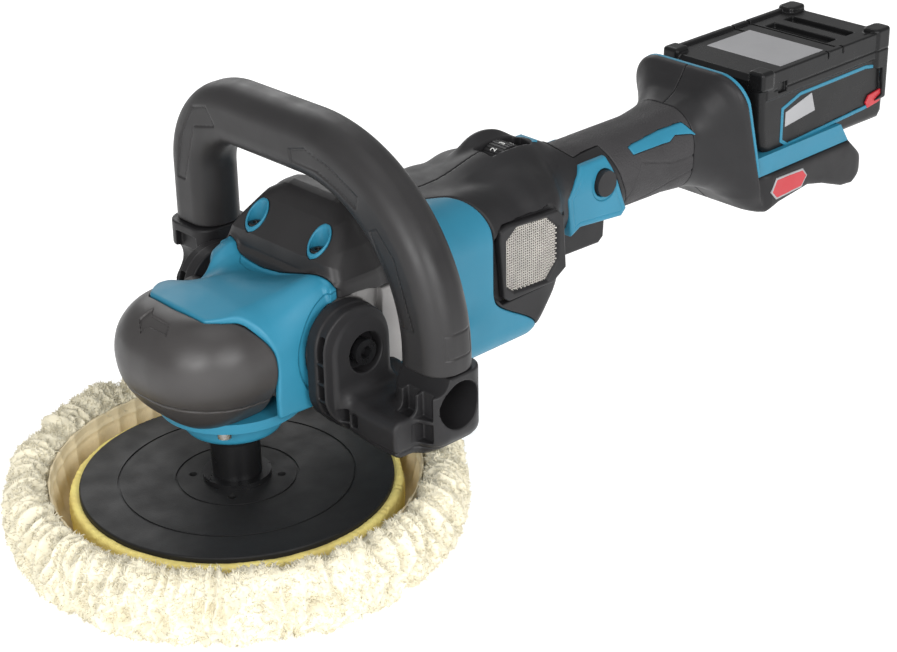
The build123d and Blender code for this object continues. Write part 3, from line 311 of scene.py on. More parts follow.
BLUE = material("blue_plastic", (0.022, 0.180, 0.280), 0.44, 0.35, 0.10, 0.05, specular=0.35)
BLACK = material("black_plastic", (0.016, 0.0155, 0.0165), 0.46, 0.45, 0.16, 0.14, specular=0.25)
RUBBER = material("black_rubber", (0.023, 0.022, 0.0225), 0.43, 0.50, 0.16, 0.12, specular=0.3)
NOSE_RUBBER = material("nose_rubber", (0.036, 0.0335, 0.033), 0.40, 0.45, 0.14, 0.12, specular=0.45)
LEATHER = material("grip_rubber", (0.034, 0.0325, 0.034), 0.60, 1.1, 0.85, 0.15, specular=0.3)
GLOSS = material("plate_gloss", (0.015, 0.015, 0.0155), 0.50, 0.8, 0.12, 0.08, specular=0.2)
BATTERY = material("battery_plastic", (0.009, 0.009, 0.0095), 0.30, 0.5, 0.06, 0.15, specular=0.22)
# Darkest black: the circuit parts' own colour, and painted shade on the sheet behind the vent meshes.
DARK_AND_SHADE = material("inner_black", (0.010, 0.010, 0.011), 0.6, 0.6, 0.1)
ALUMINIUM = material("cast_aluminium", (0.30, 0.29, 0.285), 0.46, 0.5, 0.35, 0.10, metal=0.4)
STEEL = material("ground_steel", (0.55, 0.55, 0.56), 0.28, 0.25, 0.1, 0.12, metal=1.0,
                 streaks=(1, 1, 8))
BLACK_STEEL = material("black_oxide", (0.014, 0.014, 0.015), 0.30, 0.3, 0.12, 0.25, metal=0.35)
COPPER = material("windings", (0.45, 0.22, 0.10), 0.35, 0.8, 0.5, 0.2, metal=0.9)
BRASS = material("terminal_brass", (0.70, 0.50, 0.18), 0.3, 0.3, 0.1, 0.1, metal=1.0)
WIRE = material("mesh_wire", (0.50, 0.475, 0.44), 0.38, 0.3, 0.1, 0.12, metal=0.75, patch=8)
FOAM = material("pad_foam", (0.95, 0.77, 0.26), 0.9, 0.9, 0.9, 0.12, patch=14, specular=0.2)
WOOL = material("wool_pile", (0.765, 0.715, 0.56), 0.95, 0.5, 0.8, 0.09, patch=10, sheen=0.1,
                specular=0.1)
LINING = material("bonnet_lining", (0.74, 0.63, 0.42), 0.9, 0.7, 0.7, 0.12, patch=12,
                  specular=0.15)
NUMERAL = material("numeral_white", (0.8, 0.8, 0.78), 0.5, 0.2, 0.05, 0.04)
LABEL = material("label_grey", (0.32, 0.32, 0.33), 0.4, 0.3, 0.05, 0.05)
BADGE = material("badge_red", (0.45, 0.02, 0.03), 0.35, 0.3, 0.05, 0.05)

SLOT_LOOKS = {
    "blue_plastic": BLUE, "black_plastic": BLACK, "black_rubber": RUBBER, "gloss_black": GLOSS,
    "battery_black": BATTERY, "circuit_black": DARK_AND_SHADE, "cast_aluminium": ALUMINIUM, "steel": STEEL,
    "black_steel": BLACK_STEEL, "copper_steel": COPPER, "steel_mesh": WIRE, "brass": BRASS,
    "yellow_foam": FOAM, "wool": WOOL,
}
for subpart in frame["record"]["subparts"]:
    looks = SLOT_LOOKS[subpart["material_slot"]]
    for holder in [o for o in bpy.data.objects if o.type == "MESH" and o.name == subpart["node"]]:
        holder.data.materials.clear()
        holder.data.materials.append(looks)

# ---- head
HEAD_X, HEAD_HALF, HEAD_SIDE = 22.5, 77.5, 42.0
COLLAR_SIDE = [(33.8, 118), (33.2, 131), (32.4, 140), (33.5, 146.5), (47, 161), (55, 168.3),
               (59, 170.5), (65, 171), (71, 167), (76, 158), (76, 118)]
COLLAR_FRONT = [(-42, 100), (-42, 139), (-37, 151.5), (-30, 163), (-21, 170), (-17, 171.5),
                (17, 171.5), (21, 170), (30, 163), (37, 151.5), (42, 139), (42, 100)]
CROWN_FRONT = [(-42, 124), (-36, 129), (-30, 132), (-20, 134), (0, 135.5), (20, 134.8),
               (30, 131.5), (36, 128), (42, 123)]
CROWN_MIDDLE = [(-42, 128), (-36, 132), (-25, 137), (0, 139), (25, 137.3), (32, 134), (36, 132),
                (42, 128)]
CROWN_BACK = [(-42, 137), (-36, 141), (-30, 142), (-22, 139.5), (-10, 135.2), (0, 132.8),
              (10, 132), (20, 133.3), (26, 136), (31, 141), (36, 141.5), (42, 137)]
COLLAR_EDGE = [(0, 35.3), (12, 34.6), (20, 33.6), (28, 31.8), (33, 33.4), (42, 35.3)]
PIVOT = (38.0, 107.0)
ARCH_R = 23.8
SLEEVE_X, SLEEVE_Y = 40.2, 23.4
THUMB_X, THUMB_Z = 8.5, 117.5
LOCK_Z = 88.0
GEARS_END = 76.0
NOSE_SIDE = [(68, -2), (78, -3.5), (90, -4), (105, -3.2), (114, -3.8), (122, -6), (129, -11),
             (133, -15), (140, -16)]
GAP = 0.14


def crown(x, y):
    """Height of the cover's top: a saddle between two shoulders, lower beside the scoop."""
    front, middle, back = (flow(y, row) for row in (CROWN_FRONT, CROWN_MIDDLE, CROWN_BACK))
    dip = 9.0 * ramp(y, 6, 30) * np.exp(-((x - 3) / 13) ** 2)
    return front + (middle - front) * ramp(x, -34, -10) + (back - middle) * ramp(x, -4, 33) - dip


def thumb_bite(x, y, z):
    """Scoop in the right shoulder that bares the shaft lock's thumb button."""
    plan = (np.hypot((x - THUMB_X) / 13, (y - 43) / 13.5) - 1) * 13
    return smax(plan, 108 - z, 2)


def head(x, y, z):
    """Outer skin of the head: the cover and the collar together."""
    plan = rect(x - HEAD_X, y, HEAD_HALF, HEAD_SIDE, 40)
    cover = smax(smax((z - crown(x, y)) * 0.93, plan, 13), x - 60, 4)
    dome = smax(polygon(x, z, COLLAR_SIDE), polygon(y, z, COLLAR_FRONT), 7)
    skin = smin(cover, dome, 2.5)
    slab = smax(smax(np.abs(y) - HEAD_SIDE, span(x, 30, GEARS_END), 0.5), z - 138, 3)
    return cut(smin(skin, slab, 2), thumb_bite(x, y, z), 2)


def nose(x, y, z):
    """Bulb of the rubber bumper: a deep round underside and a flatter top."""
    plan = rect(x - HEAD_X, y, HEAD_HALF, HEAD_SIDE + 1.6, 38)
    under = np.hypot(np.maximum(plan + 50, 0) / 50, np.maximum(113 - z, 0) / 45)
    over = np.hypot(np.maximum(plan + 24, 0) / 24, np.maximum(z - 106.5, 0) / 28)
    bulb = smax((under - 1) * 42, (over - 1) * 24, 3)
    return bulb + 0.5 * np.exp(-((z - 90.5 + 0.1 * x) / 0.6) ** 2)


def nose_border(x, y, z):
    """Negative in front of the line where the bumper ends."""
    side = flow(z, NOSE_SIDE)
    tongue = flow(np.abs(y), [(0, -30), (20, -28.8), (25, -24), (30, -16), (36, -11), (44, -4)])
    return (x - side + (side - tongue) * ramp(z, 112, 131)) / 1.3


def collar_border(x, y, z):
    """Positive behind the line where the collar starts."""
    above = ramp(z - flow(y, CROWN_BACK), -2, 1.5)
    return (x - flow(np.abs(y), COLLAR_EDGE) + 4.6 * above) / 1.4


def arch(x, z, radius):
    """Round clearance about the handle's pivot."""
    return np.hypot(x - PIVOT[0], z - PIVOT[1]) - radius


def lock_hole(x, y, z):
    """Hole in the right side for the shaft lock."""
    return bar(x, z - LOCK_Z, y, 6.6, 20, 60)


def thumb_bar(x, y, z, radius, low, high, k=0.8):
    """Round bar on the thumb button's axis."""
    return bar(x - THUMB_X, z - THUMB_Z, y, radius, low, high, k)


def arrow(x, y):
    """Turning arrow, seen from above the nose."""
    return polygon(x, y, [(-43, 9.6), (-35.7, 8.1), (-39.4, 4.6), (-39.8, -9), (-43.8, -12),
                          (-44.2, 1), (-47.5, 3.5)])


def nose_bumper(x, y, z):
    outer = nose(x, y, z)
    shell = smax(outer, -(outer + 4), 1)
    shell = smax(shell, nose_border(x, y, z) + GAP, 1.2)
    shell = cut(shell, np.hypot(x, y) - 27, 2)
    shell = cut(shell, smax(smax(arrow(x, y), -(outer + 0.9), 0.3), 110 - z, 0.3), 0.3)
    return cut(shell, lock_hole(x, y, z), 0.6)


def head_cover(x, y, z):
    outer = head(x, y, z)
    shell = smax(outer, -(outer + 3.2), 1)
    shell = smax(shell, GAP - nose_border(x, y, z), 1.2)
    shell = smax(shell, collar_border(x, y, z) + GAP, 1.2)
    shell = smax(shell, 79.5 - z + 0.04 * (30 - x), 1.5)
    shell = smax(shell, x - 36, 1.5)
    shell = cut(shell, smax(arch(x, z, ARCH_R), 38 - np.abs(y), 1), 1.2)
    shell = cut(shell, smax(arch(x, z, ARCH_R + 5), -(outer + 0.8), 0.8), 0.8)
    shell = cut(shell, thumb_bar(x, y, z, 8.9, 27, 48), 0.5)
    return cut(shell, lock_hole(x, y, z), 0.6)


def recess(x, y, z, radius):
    """Upright round hole over each collar screw."""
    return smax(np.hypot(x - SLEEVE_X, np.abs(y) - SLEEVE_Y) - radius, 145.5 - z, 0.8)


def collar(x, y, z):
    outer = head(x, y, z)
    side = np.abs(y)
    outer = outer + 0.9 * np.exp(-(((x - 60) + 0.25 * (z - 150)) / 2.2) ** 2) * ramp(side, 20, 36)
    shell = smax(outer, -(outer + 3.5), 1)
    shell = smax(shell, GAP - collar_border(x, y, z), 1.2)
    floor = flow(x, [(10, 118), (34, 120), (44, 131), (52, 130.5), (62, 128.5), (80, 128)])
    shell = smax(shell, floor - z, 1.2)
    shell = cut(shell, smax(arch(x, z, ARCH_R), 38 - side, 1), 1.2)
    return cut(shell, recess(x, y, z, 6.25), 0.5)


def screw_sleeves(x, y, z):
    outer = head(x, y, z) - 0.6
    tube = smax(recess(x, y, z, 6.1), outer, 0.5)
    bore = smax(recess(x, y, z, 4.9), 147 - z, 0.5)
    return cut(tube, bore, 0.5)


def gear_housing(x, y, z):
    """Cast core: bare between the collar and the motor housing, covered elsewhere."""
    env = head(x, y, z)
    core = smax(env + 3.7, x - GEARS_END, 1)
    core = smax(core, np.where(x < 6, nose(x, y, z) + 5, -9.0), 0.5)
    slab = smax(smax(env + 0.25, span(x, 62.3, GEARS_END), 0.8), z - 127.6, 0.8)
    block = smax(smin(core, slab, 0.5), 83.5 - z, 1)
    inner = smax(env + 9, 32 - np.abs(z - PIVOT[1]), 1)
    block = cut(block, smax(inner, x - 40, 1), 1)
    face = smax(arch(x, z, ARCH_R - 1.6), np.abs(y) - 43, 0.8)
    block = cut(block, recess(x, y, z, 6.4) - 0.2, 0.5)
    block = cut(block, thumb_bar(x, y, z, 9.2, 27.6, 48), 0.5)
    return smin(block, smax(face, 38 - np.abs(y), 0.5), 0.5)


def thumb_button(x, y, z):
    """Black cap in the scoop, with a raised rim."""
    cap = thumb_bar(x, y, z, 8.3, 31.5, 40.2, 2.2)
    return cut(cap, thumb_bar(x, y, z, 5.6, 39.6, 50, 0.5), 0.5)


piece(nose_bumper, (-56, -45, 65), (2, 45, 136), 0.75,
      "root", NOSE_RUBBER, "black_rubber", "nose_bumper")
piece(head_cover, (-36, -42, 76), (38, 43, 146), 0.7,
      "root", BLUE, "blue_plastic", "head_cover")
piece(collar, (29, -43, 117), (77, 43, 172), 0.65,
      "root", RUBBER, "black_plastic", "collar")
piece(screw_sleeves, (33, -31, 145), (48, 31, 165), 0.5,
      "root", BLUE, "blue_plastic", "screw_sleeves")
piece(gear_housing, (-40, -43.5, 82), (77, 43.5, 168), 1.0,
      "root", ALUMINIUM, "cast_aluminium", "gear_housing")
piece(thumb_button, (-1, 31, 109), (18, 41, 126.5), 0.5,
      "shaft_lock", RUBBER, "black_plastic")


def collar_screws(x, y, z):
    off = np.abs(y) - SLEEVE_Y
    headed = bar(x - SLEEVE_X + 1, off, z, 3.7, 147.4, 150, 0.8)
    return cut(headed, bar(x - SLEEVE_X + 1, off, z, 1.6, 148.6, 153), 0.3)


piece(collar_screws, (34, -28, 147), (44, 28, 151), 0.3,
      "root", BLACK_STEEL, "steel", "collar_screws")


# ---- body, grip and guard
HALF_WIDTH = [(76, 41.6), (96, 42), (172, 42), (184, 40.5), (194, 36), (203, 28), (212, 23.8),
              (220, 22.8), (290, 22.5)]
UNDERSIDE = [(76, 64), (96, 62), (166, 62), (182, 73), (196, 85), (208, 94), (218, 96.5),
             (240, 97), (290, 96)]
ROOF = [(76, 159), (83, 156.5), (98, 151), (116, 149.5), (139, 149.5), (172, 151), (192, 151),
        (204, 148.5), (216, 145), (232, 143.2), (290, 143)]
FLARE_WIDTH = [(302, 0), (322, 2.2), (335, 6.5), (344, 12.5), (350.5, 18), (356, 19.4)]
FLARE_LOW = [(300, 0), (320, 1.4), (334, 5), (344, 11), (351, 17.5), (356, 20)]
FLARE_HIGH = [(306, 0), (326, 2.0), (337, 6.5), (345, 13.5), (351, 19.4), (356, 20.7)]
RIM_LEAN = 0.26
RIM_X = 354.0
WALL = 4.0
SHELF_Z = 98.0
ROTOR_Z, COUNTER_Z = 101.0, 123.5
BUTTON_X, BUTTON_Z = 242.0, 124.4


def lean(x, z):
    """Position along the grip, following the guard's leaning rim."""
    return x + RIM_LEAN * (z - SHELF_Z)


def body(x, y, z):
    """Outer skin of the motor body, the grip and the guard's funnel."""
    along = lean(x, z)
    half = flow(x, HALF_WIDTH) + flow(along, FLARE_WIDTH)
    low = flow(x, UNDERSIDE) - flow(along, FLARE_LOW)
    high = flow(x, ROOF) + flow(along, FLARE_HIGH)
    top_corner = flow(x, [(100, 24), (190, 24), (215, 21.5), (330, 20), (350, 18)])
    low_corner = flow(x, [(100, 12), (170, 13), (215, 21), (330, 20), (350, 18)])
    middle = (low + high) / 2
    corner = np.where(z > middle, top_corner, low_corner)
    return rect(y, z - middle, half, (high - low) / 2, corner)


def seam(x, y, z):
    """Negative in the motor housing, positive in the rear housing."""
    side = flow(z, [(58, 178), (73, 169), (94, 140), (100, 139), (160, 139)])
    roof = flow(np.abs(y), [(0, 112), (9, 113), (20, 128), (33, 136), (40, 139)])
    return (x - side - (roof - 139) * ramp(z, 104, 132)) / 1.35


FRAME = [(140, 96), (140, 128), (146, 134), (184, 134), (190, 128), (190, 102), (183, 92),
         (145, 91)]
PLATE = [(213, 123), (227, 137.5), (247, 137.5), (260, 104.4), (256, 100.7), (223, 104),
         (215.6, 100.4)]
SLEEVE = [(203, 172), (203, 160), (228, 140), (249, 140.5), (264, 104), (264, 70), (315, 70),
          (315, 172)]
ACCENT = [(267.3, 136.1), (268.7, 132.3), (297.9, 132), (302.9, 134.5), (313.5, 133), (317, 131.5),
          (311, 139.2), (270, 136.7)]
SHELF = [(352, 86), (359, 76.5), (366, 74), (377, 77), (404, 80), (419, 76.5), (438, 69.5),
         (448, 68.5), (461, 75.5), (460, 82), (450, 91), (443, 97.6), (352, 97.6)]


def motor_skin(x, y, z):
    """Motor housing with the scooped flank above its skirt."""
    fade = ramp(x, 138, 112)
    scoop = 2.6 * np.exp(-((z - 96 + 0.05 * (x - 76)) / 6.5) ** 2) * ramp(np.abs(y), 30, 40) * fade
    ledge = 0.8 * ramp(z, 84, 92) * ramp(np.abs(y), 30, 40) * fade
    return body(x, y, z) + scoop + ledge


def motor_housing(x, y, z):
    outer = motor_skin(x, y, z)
    inner = smax(outer + 3.2, 86 - x, 1)
    shell = smax(outer, -inner, 1)
    shell = smax(shell, 76.4 - x + 0.04 * (128 - z) * ramp(np.abs(y), 30, 42), 1.5)
    shell = smax(shell, seam(x, y, z) + GAP, 1.3)
    shell = cut(shell, bar(y, z - ROTOR_Z, x, 12.4, 60, 95), 0.4)
    return cut(shell, bar(y, z - COUNTER_Z, x, 9.4, 60, 95), 0.4)


def egg(p, middle, radii, depth):
    """Ellipsoid, with its distance scaled by a depth."""
    square = sum(((c - m) / r) ** 2 for c, m, r in zip(p, middle, radii))
    return (np.sqrt(square) - 1) * depth


def rear_skin(x, y, z):
    """Rear housing with the raised spine and the hump beside the speed dial."""
    outer = body(x, y, z)
    side = np.abs(y)
    outer = smin(outer, egg((x, y, z), (184, -1, 140), (36, 17, 17.5), 14), 9)
    outer = smin(outer, egg((x, y, z), (184, 12, 146), (21, 6.5, 15.5), 6), 4)
    valley = (np.exp(-((x - 147 - 0.4 * side) / 8) ** 2)
              + np.exp(-((x - 196 + 0.3 * side) / 8) ** 2))
    return outer + 1.6 * valley * ramp(side, 10, 22) * ramp(z, 128, 138)


def trigger_slot(x, y, z):
    return box((x, y, z), (213.5, -9, 70), (266, 9, 106), 1)


def rear_shell(x, y, z):
    """Grip, guard and battery shelf as one hollow shell, before it is split in two."""
    side = np.abs(y)
    skin = rear_skin(x, y, z)
    guard = smax(skin, (lean(x, z) - RIM_X) / 1.03, 1.6)
    taper = 0.35 * np.maximum(86 - z, 0) * ramp(x, 366, 346)
    flank = side - 40 + 0.5 * np.maximum(369 - x, 0) + taper
    shelf = smax(polygon(x, z, SHELF), flank * 0.92, 4)
    shelf = smax(shelf, rect(x - 250, y, 212, 40, 14), 2)
    outer = smin(guard, shelf, 10)
    bay = smin(x - 343, SHELF_Z - z, 1)
    void = smax(skin + WALL, bay, 1)
    void = smax(void, 1.6 - np.abs(x - 330), 1)
    void = smin(void, smax(shelf + 3, 346 - x, 1), 0.5)
    shell = smax(outer, -void, 0.8)
    shell = smax(shell, GAP - seam(x, y, z), 1.3)
    shell = cut(shell, smax(polygon(x, z, FRAME) - 0.3, 38.3 - side, 0.3), 0.5)
    shell = cut(shell, smax(polygon(x, z, PLATE) - 0.3, 20.2 - side, 0.3), 0.5)
    shell = cut(shell, bar(x - BUTTON_X, z - BUTTON_Z, y, 7.6, -40, 40), 0.3)
    shell = cut(shell, box((x, y, z), (171, -7.7, 126), (201, 5.7, 180), 1.5), 0.8)
    shell = cut(shell, trigger_slot(x, y, z), 0.8)
    shell = cut(shell, smax(polygon(x, z, SLEEVE), -(skin + 2.2), 0.4), 0.4)
    shell = cut(shell, bar(x - 206, z - 117.5, y, 1.6, -60, 60), 0.3)
    for screw_x, screw_z in ((160, 71.5), (203.5, 112), (446, 91)):
        shell = cut(shell, bar(x - screw_x, z - screw_z, y, 4, 17, 60), 0.5)
    return shell


def handle_left(x, y, z):
    return smax(rear_shell(x, y, z), y + GAP, 0.6)


def handle_right(x, y, z):
    return smax(rear_shell(x, y, z), GAP - y, 0.6)


def grip_sleeve(x, y, z):
    skin = rear_skin(x, y, z)
    sleeve = smax(skin - 0.15, -(skin + 2), 0.6)
    sleeve = smax(sleeve, polygon(x, z, SLEEVE) + 0.25, 0.8)
    groove = smax(polygon(x, z, ACCENT) - 0.2, 11.8 - np.abs(y), 0.3)
    sleeve = cut(sleeve, smax(groove, -(skin + 1.4), 0.3), 0.4)
    crease = polygon(x, z, [(262, 107), (274, 127), (300, 120), (330, 121), (330, 115), (268, 101)])
    sleeve = sleeve + 0.45 * np.exp(-(crease / 0.7) ** 2)
    return cut(sleeve, trigger_slot(x, y, z), 0.8)


def grip_accent(x, y, z):
    skin = rear_skin(x, y, z)
    strip = smax(skin - 0.35, -(skin + 1.2), 0.5)
    return smax(strip, smax(polygon(x, z, ACCENT), 12 - np.abs(y), 0.5), 0.6)


piece(motor_housing, (75, -43, 61), (182, 43, 152), 0.85,
      "root", BLUE, "blue_plastic", "motor_housing")
piece(handle_left, (111, -43, 61), (464, 0.5, 166), 0.85,
      "root", BLACK, "black_plastic", "handle_left")
piece(handle_right, (111, -0.5, 61), (464, 43, 166), 0.85,
      "root", BLACK, "black_plastic", "handle_right")
piece(grip_sleeve, (202, -30, 84), (317, 30, 156), 0.7,
      "root", LEATHER, "black_rubber", "grip_sleeve")
piece(grip_accent, (261, -27, 129), (318, 27, 147), 0.5,
      "root", BLUE, "blue_plastic")


# ---- loop handle
LOOP_X = 55.0
FOOT_LEFT, FOOT_RIGHT = -88.0, 83.0
JOINT_LEFT, JOINT_RIGHT = 106.0, 131.0
PANELS = [
    [(-7, 196), (-18, 199), (-36, 194), (-54, 185), (-53, 180), (-40, 186), (-25, 191), (-8, 191)],
    [(-63, 170), (-67, 172), (-78, 161), (-90, 129), (-82, 128), (-74, 147)],
    [(69, 198), (58, 201), (52, 193), (69, 189), (79, 158), (84, 158), (80, 179)],
]


def loop_side(y, z):
    """Distance outside the loop's centre line, seen along x."""
    straight = np.maximum(np.maximum(FOOT_LEFT - y, y - FOOT_RIGHT), z - 196)
    wide = np.hypot(y + 4, z - 112) - 84
    tight = np.hypot(y - 49, z - 162) - 34
    side = np.where((y < -4) & (z > 112), wide, straight)
    return np.where((y > 49) & (z > 162), tight, side)


def joint_height(y):
    return np.where(y < 0, JOINT_LEFT, JOINT_RIGHT)


def loop_grip(x, y, z):
    tube = rect(loop_side(y, z), x - LOOP_X, 16.3, 13.9, 12)
    front = ramp(x, 52, 46)
    for points in PANELS:
        panel = polygon(y - 3.75, z + 1.75, points) - 0.6
        tube = tube + front * (0.55 * ramp(-panel, -0.2, 0.6) + 0.45 * np.exp(-(panel / 0.55) ** 2))
    plate = np.maximum(rect(y + 95, z - 121, 30, 6, 1), np.abs(x - LOOP_X) - 8)
    tube = tube + 0.4 * np.exp(-(plate / 0.5) ** 2) * ramp(-y, 100, 102)
    return smax(tube, joint_height(y) + 0.25 - z, 1.2)


BRACKET_WINDOWS = [(109, 121.5), (98.6, 107.4), (89.4, 97), (80.5, 87.8)]
UNDER_WINDOWS = [(56.4, 60.2, 76.5, 83), (56.4, 60.2, 70, 75), (61.4, 65.4, 74.5, 81)]


def bracket(x, y, z):
    """Cap bolted to the head, with its pocketed front edge."""
    side = np.abs(y)
    plate = smax(rect(x - 33, z - 102, 21, 30, 19), span(side, 44.2, 50.6), 1)
    cap_plan = rect(x - 36, z - 99, 17.5, 28, 17)
    cap = smax(cap_plan, span(side, 46, 57.4 - 0.05 * np.maximum(z - 100, 0)), 2.6)
    flange = smax(rect(x - 33, z - 102, 20.6, 29.6, 19), span(side, 44.2, 56.2), 1.2)
    return smin(smin(plate, flange, 1), cap, 1.5)


def arm(x, y, z):
    """Bar from the bracket out to the foot."""
    side = np.abs(y)
    top = 88 + 5 * ramp(side, 60, 50) - 1.5 * ramp(side, 60, 72)
    bottom = 67 + 3.5 * ramp(side, 75, 50)
    tall = np.abs(z - (top + bottom) / 2) - (top - bottom) / 2
    return smax(smax(tall, span(x, 23.5, 66), 6), span(side, 46, 92), 2)


def foot(x, y, z):
    """Base of one leg, with the wrench hole."""
    middle = np.where(y < 0, FOOT_LEFT, FOOT_RIGHT)
    off = np.abs(y - middle)
    plan = rect(x - LOOP_X, off, 16.8, 16.5, 10)
    base = 65.5 + 5 * ramp(np.abs(y), 92, 106)
    post = smax(plan, base - z, 7)
    return smax(post, z - joint_height(y) + 0.25, 1.2)


def loop_frame(x, y, z):
    side = np.abs(y)
    whole = smin(bracket(x, y, z), arm(x, y, z), 6)
    whole = smin(whole, foot(x, y, z), 5)
    whole = cut(whole, smax(arch(x, z, 10.2), 50 - side, 0.5), 1)
    whole = cut(whole, arch(x, z, 4.6), 0.4)
    whole = cut(whole, smax(np.hypot(x - LOOP_X, z - 90) - 12.2, 81 - side, 1), 0.8)
    for low, high in BRACKET_WINDOWS:
        whole = cut(whole, box((x, side, z), (2, 51.2, low), (25, 55.2, high), 0.8), 0.5)
    for inner, outer, low, high in UNDER_WINDOWS:
        whole = cut(whole, box((x, side, z), (2, inner, low), (31, outer, high), 0.8), 0.5)
    middle = np.where(y < 0, -FOOT_LEFT, FOOT_RIGHT)
    for inner, outer in ((-6, 2.2), (4, 12)):
        for low, high in ((73, 83), (85, 100)):
            window = box((x, side - middle, z), (34, inner, low), (42, outer, high), 0.8)
            whole = cut(whole, window, 0.5)
    tall_window = box((x, y, z), (34, 74, 102), (42, 90, 126), 1)
    whole = cut(whole, smax(tall_window, 0.7 - np.abs(z - 113), 0.4), 0.5)
    return whole + 0.35 * np.exp(-((z - 70.5) / 0.6) ** 2) * ramp(side, 74, 78)


piece(loop_grip, (40, -106, 105), (70, 101, 214), 0.8,
      "loop_handle", RUBBER, "black_rubber", "loop_grip")
piece(loop_frame, (11, -106, 64), (73, 101, 133), 0.75,
      "loop_handle", BLACK, "black_plastic", "loop_frame")


# ---- battery
BATTERY_Y = 1.0
BATTERY_SIDE = [(362, 156.6), (359, 153), (360, 124), (362.5, 113), (367, 106.5), (375, 103),
                (477, 101.5), (480.5, 106), (480.5, 153), (478, 156.6)]
PANEL_LINE = [(379, 134), (396, 139.5), (459, 140), (476, 137), (477.5, 117), (466, 112),
              (386, 108.5), (379, 113)]
PATCH = [(384, 130), (408, 136), (412, 124), (384, 121)]


def battery_block(x, y, z):
    side = np.abs(y - BATTERY_Y)
    flank = side - 36 + 0.02 * np.maximum(120 - z, 0)
    block = smax(polygon(x, z, BATTERY_SIDE), flank, 5)
    post = smax(rect(x - 473.5, side - 32, 7.4, 6, 3.5), span(z, 115, 160), 2)
    front = box((x, side, z), (358.6, 26, 148), (370, 37.8, 159.8), 2.4)
    ledge = box((x, side, z), (364, 33, 142), (478, 37, 158.2), 0.8)
    block = smin(smin(smin(block, post, 1.2), front, 1), ledge, 0.6)
    for notch in (420.0, 434.0):
        block = cut(block, smax(np.abs(x - notch) - 0.6, 154 - z, 0.3), 0.3)
    block = block + 0.5 * np.exp(-((z - 147) / 0.5) ** 2) * ramp(side, 34, 35) * ramp(x, 368, 372)
    block = cut(block, box((x, side, z), (374, 35, 144.5), (382, 41, 150.5), 0.6), 0.4)
    for low, high in ((436.5, 446), (454.5, 463.5)):
        block = cut(block, box((x, y, z), (low, -22, 153), (high, 24, 170), 0.8), 0.5)
    block = cut(block, smax(polygon(x, z, PANEL_LINE) + 2.2, 35.4 - side, 0.2), 0.3)
    return cut(block, box((x, y, z), (466, -15.8, 113.6), (490, 15.8, 134.4), 0.8), 0.4)


def battery_shell(x, y, z):
    return cut(battery_block(x, y, z), box((x, y, z), (363.5, -32, 108), (468.5, 34, 151), 2), 0.5)


def battery_line(x, y, z):
    ring = np.abs(polygon(x, z, PANEL_LINE) + 1.1) - 1.1
    return smax(ring, span(np.abs(y - BATTERY_Y), 35, 36.35), 0.3)


def battery_patch(x, y, z):
    return smax(polygon(x, z, PATCH), span(np.abs(y - BATTERY_Y), 34.8, 35.6), 0.2)


def battery_label(x, y, z):
    return box((x, y, z), (384, -29, 156), (424, 26, 156.85), 0.3)


def battery_badge(x, y, z):
    """Small plain badge on each side of the battery."""
    return smax(polygon(x, z, [(461, 116), (464, 120), (476, 121.5), (478, 118), (475, 113.5),
                               (463, 112)]), span(np.abs(y - BATTERY_Y), 35.4, 36.7), 0.3)


def shelf_badge(x, y, z):
    return smax(polygon(x, z, [(368.5, 86), (372.5, 93), (396, 92.3), (400, 88), (395.5, 82.5),
                               (373, 81.5)]), span(np.abs(y), 38.6, 40.2), 0.3)


def shelf_badge_rim(x, y, z):
    return smax(polygon(x, z, [(367.5, 86), (372, 94), (396.5, 93.3), (401, 88), (396, 81.5),
                               (372.5, 80.5)]), span(np.abs(y), 38.6, 40.05), 0.3)


def guard_edge(x, y, z):
    """Blue liner on the back of the guard's rim."""
    skin = body(x, y, z)
    ring = smax(skin + 0.7, -(skin + 5.6), 0.4)
    ring = smax(ring, span(lean(x, z), RIM_X + 0.1, RIM_X + 2.0), 0.3)
    return smax(ring, 101 - z, 0.3)


piece(battery_shell, (358, -38, 100), (482, 40, 161), 0.85,
      "battery", BATTERY, "battery_black", "battery_base", "battery_case")
piece(battery_line, (378, -36, 107), (479, 38, 141), 0.5,
      "battery", BLUE, "blue_plastic")
piece(battery_patch, (383, -36, 120), (413, 38, 137), 0.45,
      "battery", LABEL, "battery_black")
piece(battery_label, (383, -30, 155), (425, 27, 157), 0.4,
      "battery", LABEL, "battery_black")
piece(battery_badge, (460, -37, 111), (479, 38, 122), 0.4,
      "battery", BADGE, "battery_black")
piece(shelf_badge, (368, -41, 81), (401, 41, 94), 0.5,
      "root", BADGE, "black_plastic")
piece(shelf_badge_rim, (367, -41, 80), (402, 41, 95), 0.5,
      "root", LABEL, "black_plastic")
piece(guard_edge, (325, -42, 100), (360, 42, 167), 0.5,
      "root", BLUE, "blue_plastic")


# ---- vents and side plates
FRAME_OUT = [(142, 126), (142.5, 132.5), (149, 134), (185, 132), (190, 127), (192, 97), (182, 91),
             (149, 91), (145, 94)]
FRAME_IN = [(148, 125), (155, 130.5), (177, 129), (184.5, 122), (184.5, 103), (177, 94.5),
            (153, 96), (148, 100)]


def vent_frame(sign):
    def shape(x, y, z):
        side = sign * y
        ring = smax(polygon(x, z, FRAME_OUT) + 0.3, span(side, 38.5, 42.9), 1.6)
        bevel = np.clip(side - 41.2, 0, 2) * 0.8
        return cut(ring, polygon(x, z, FRAME_IN) - bevel, 0.5)
    return shape


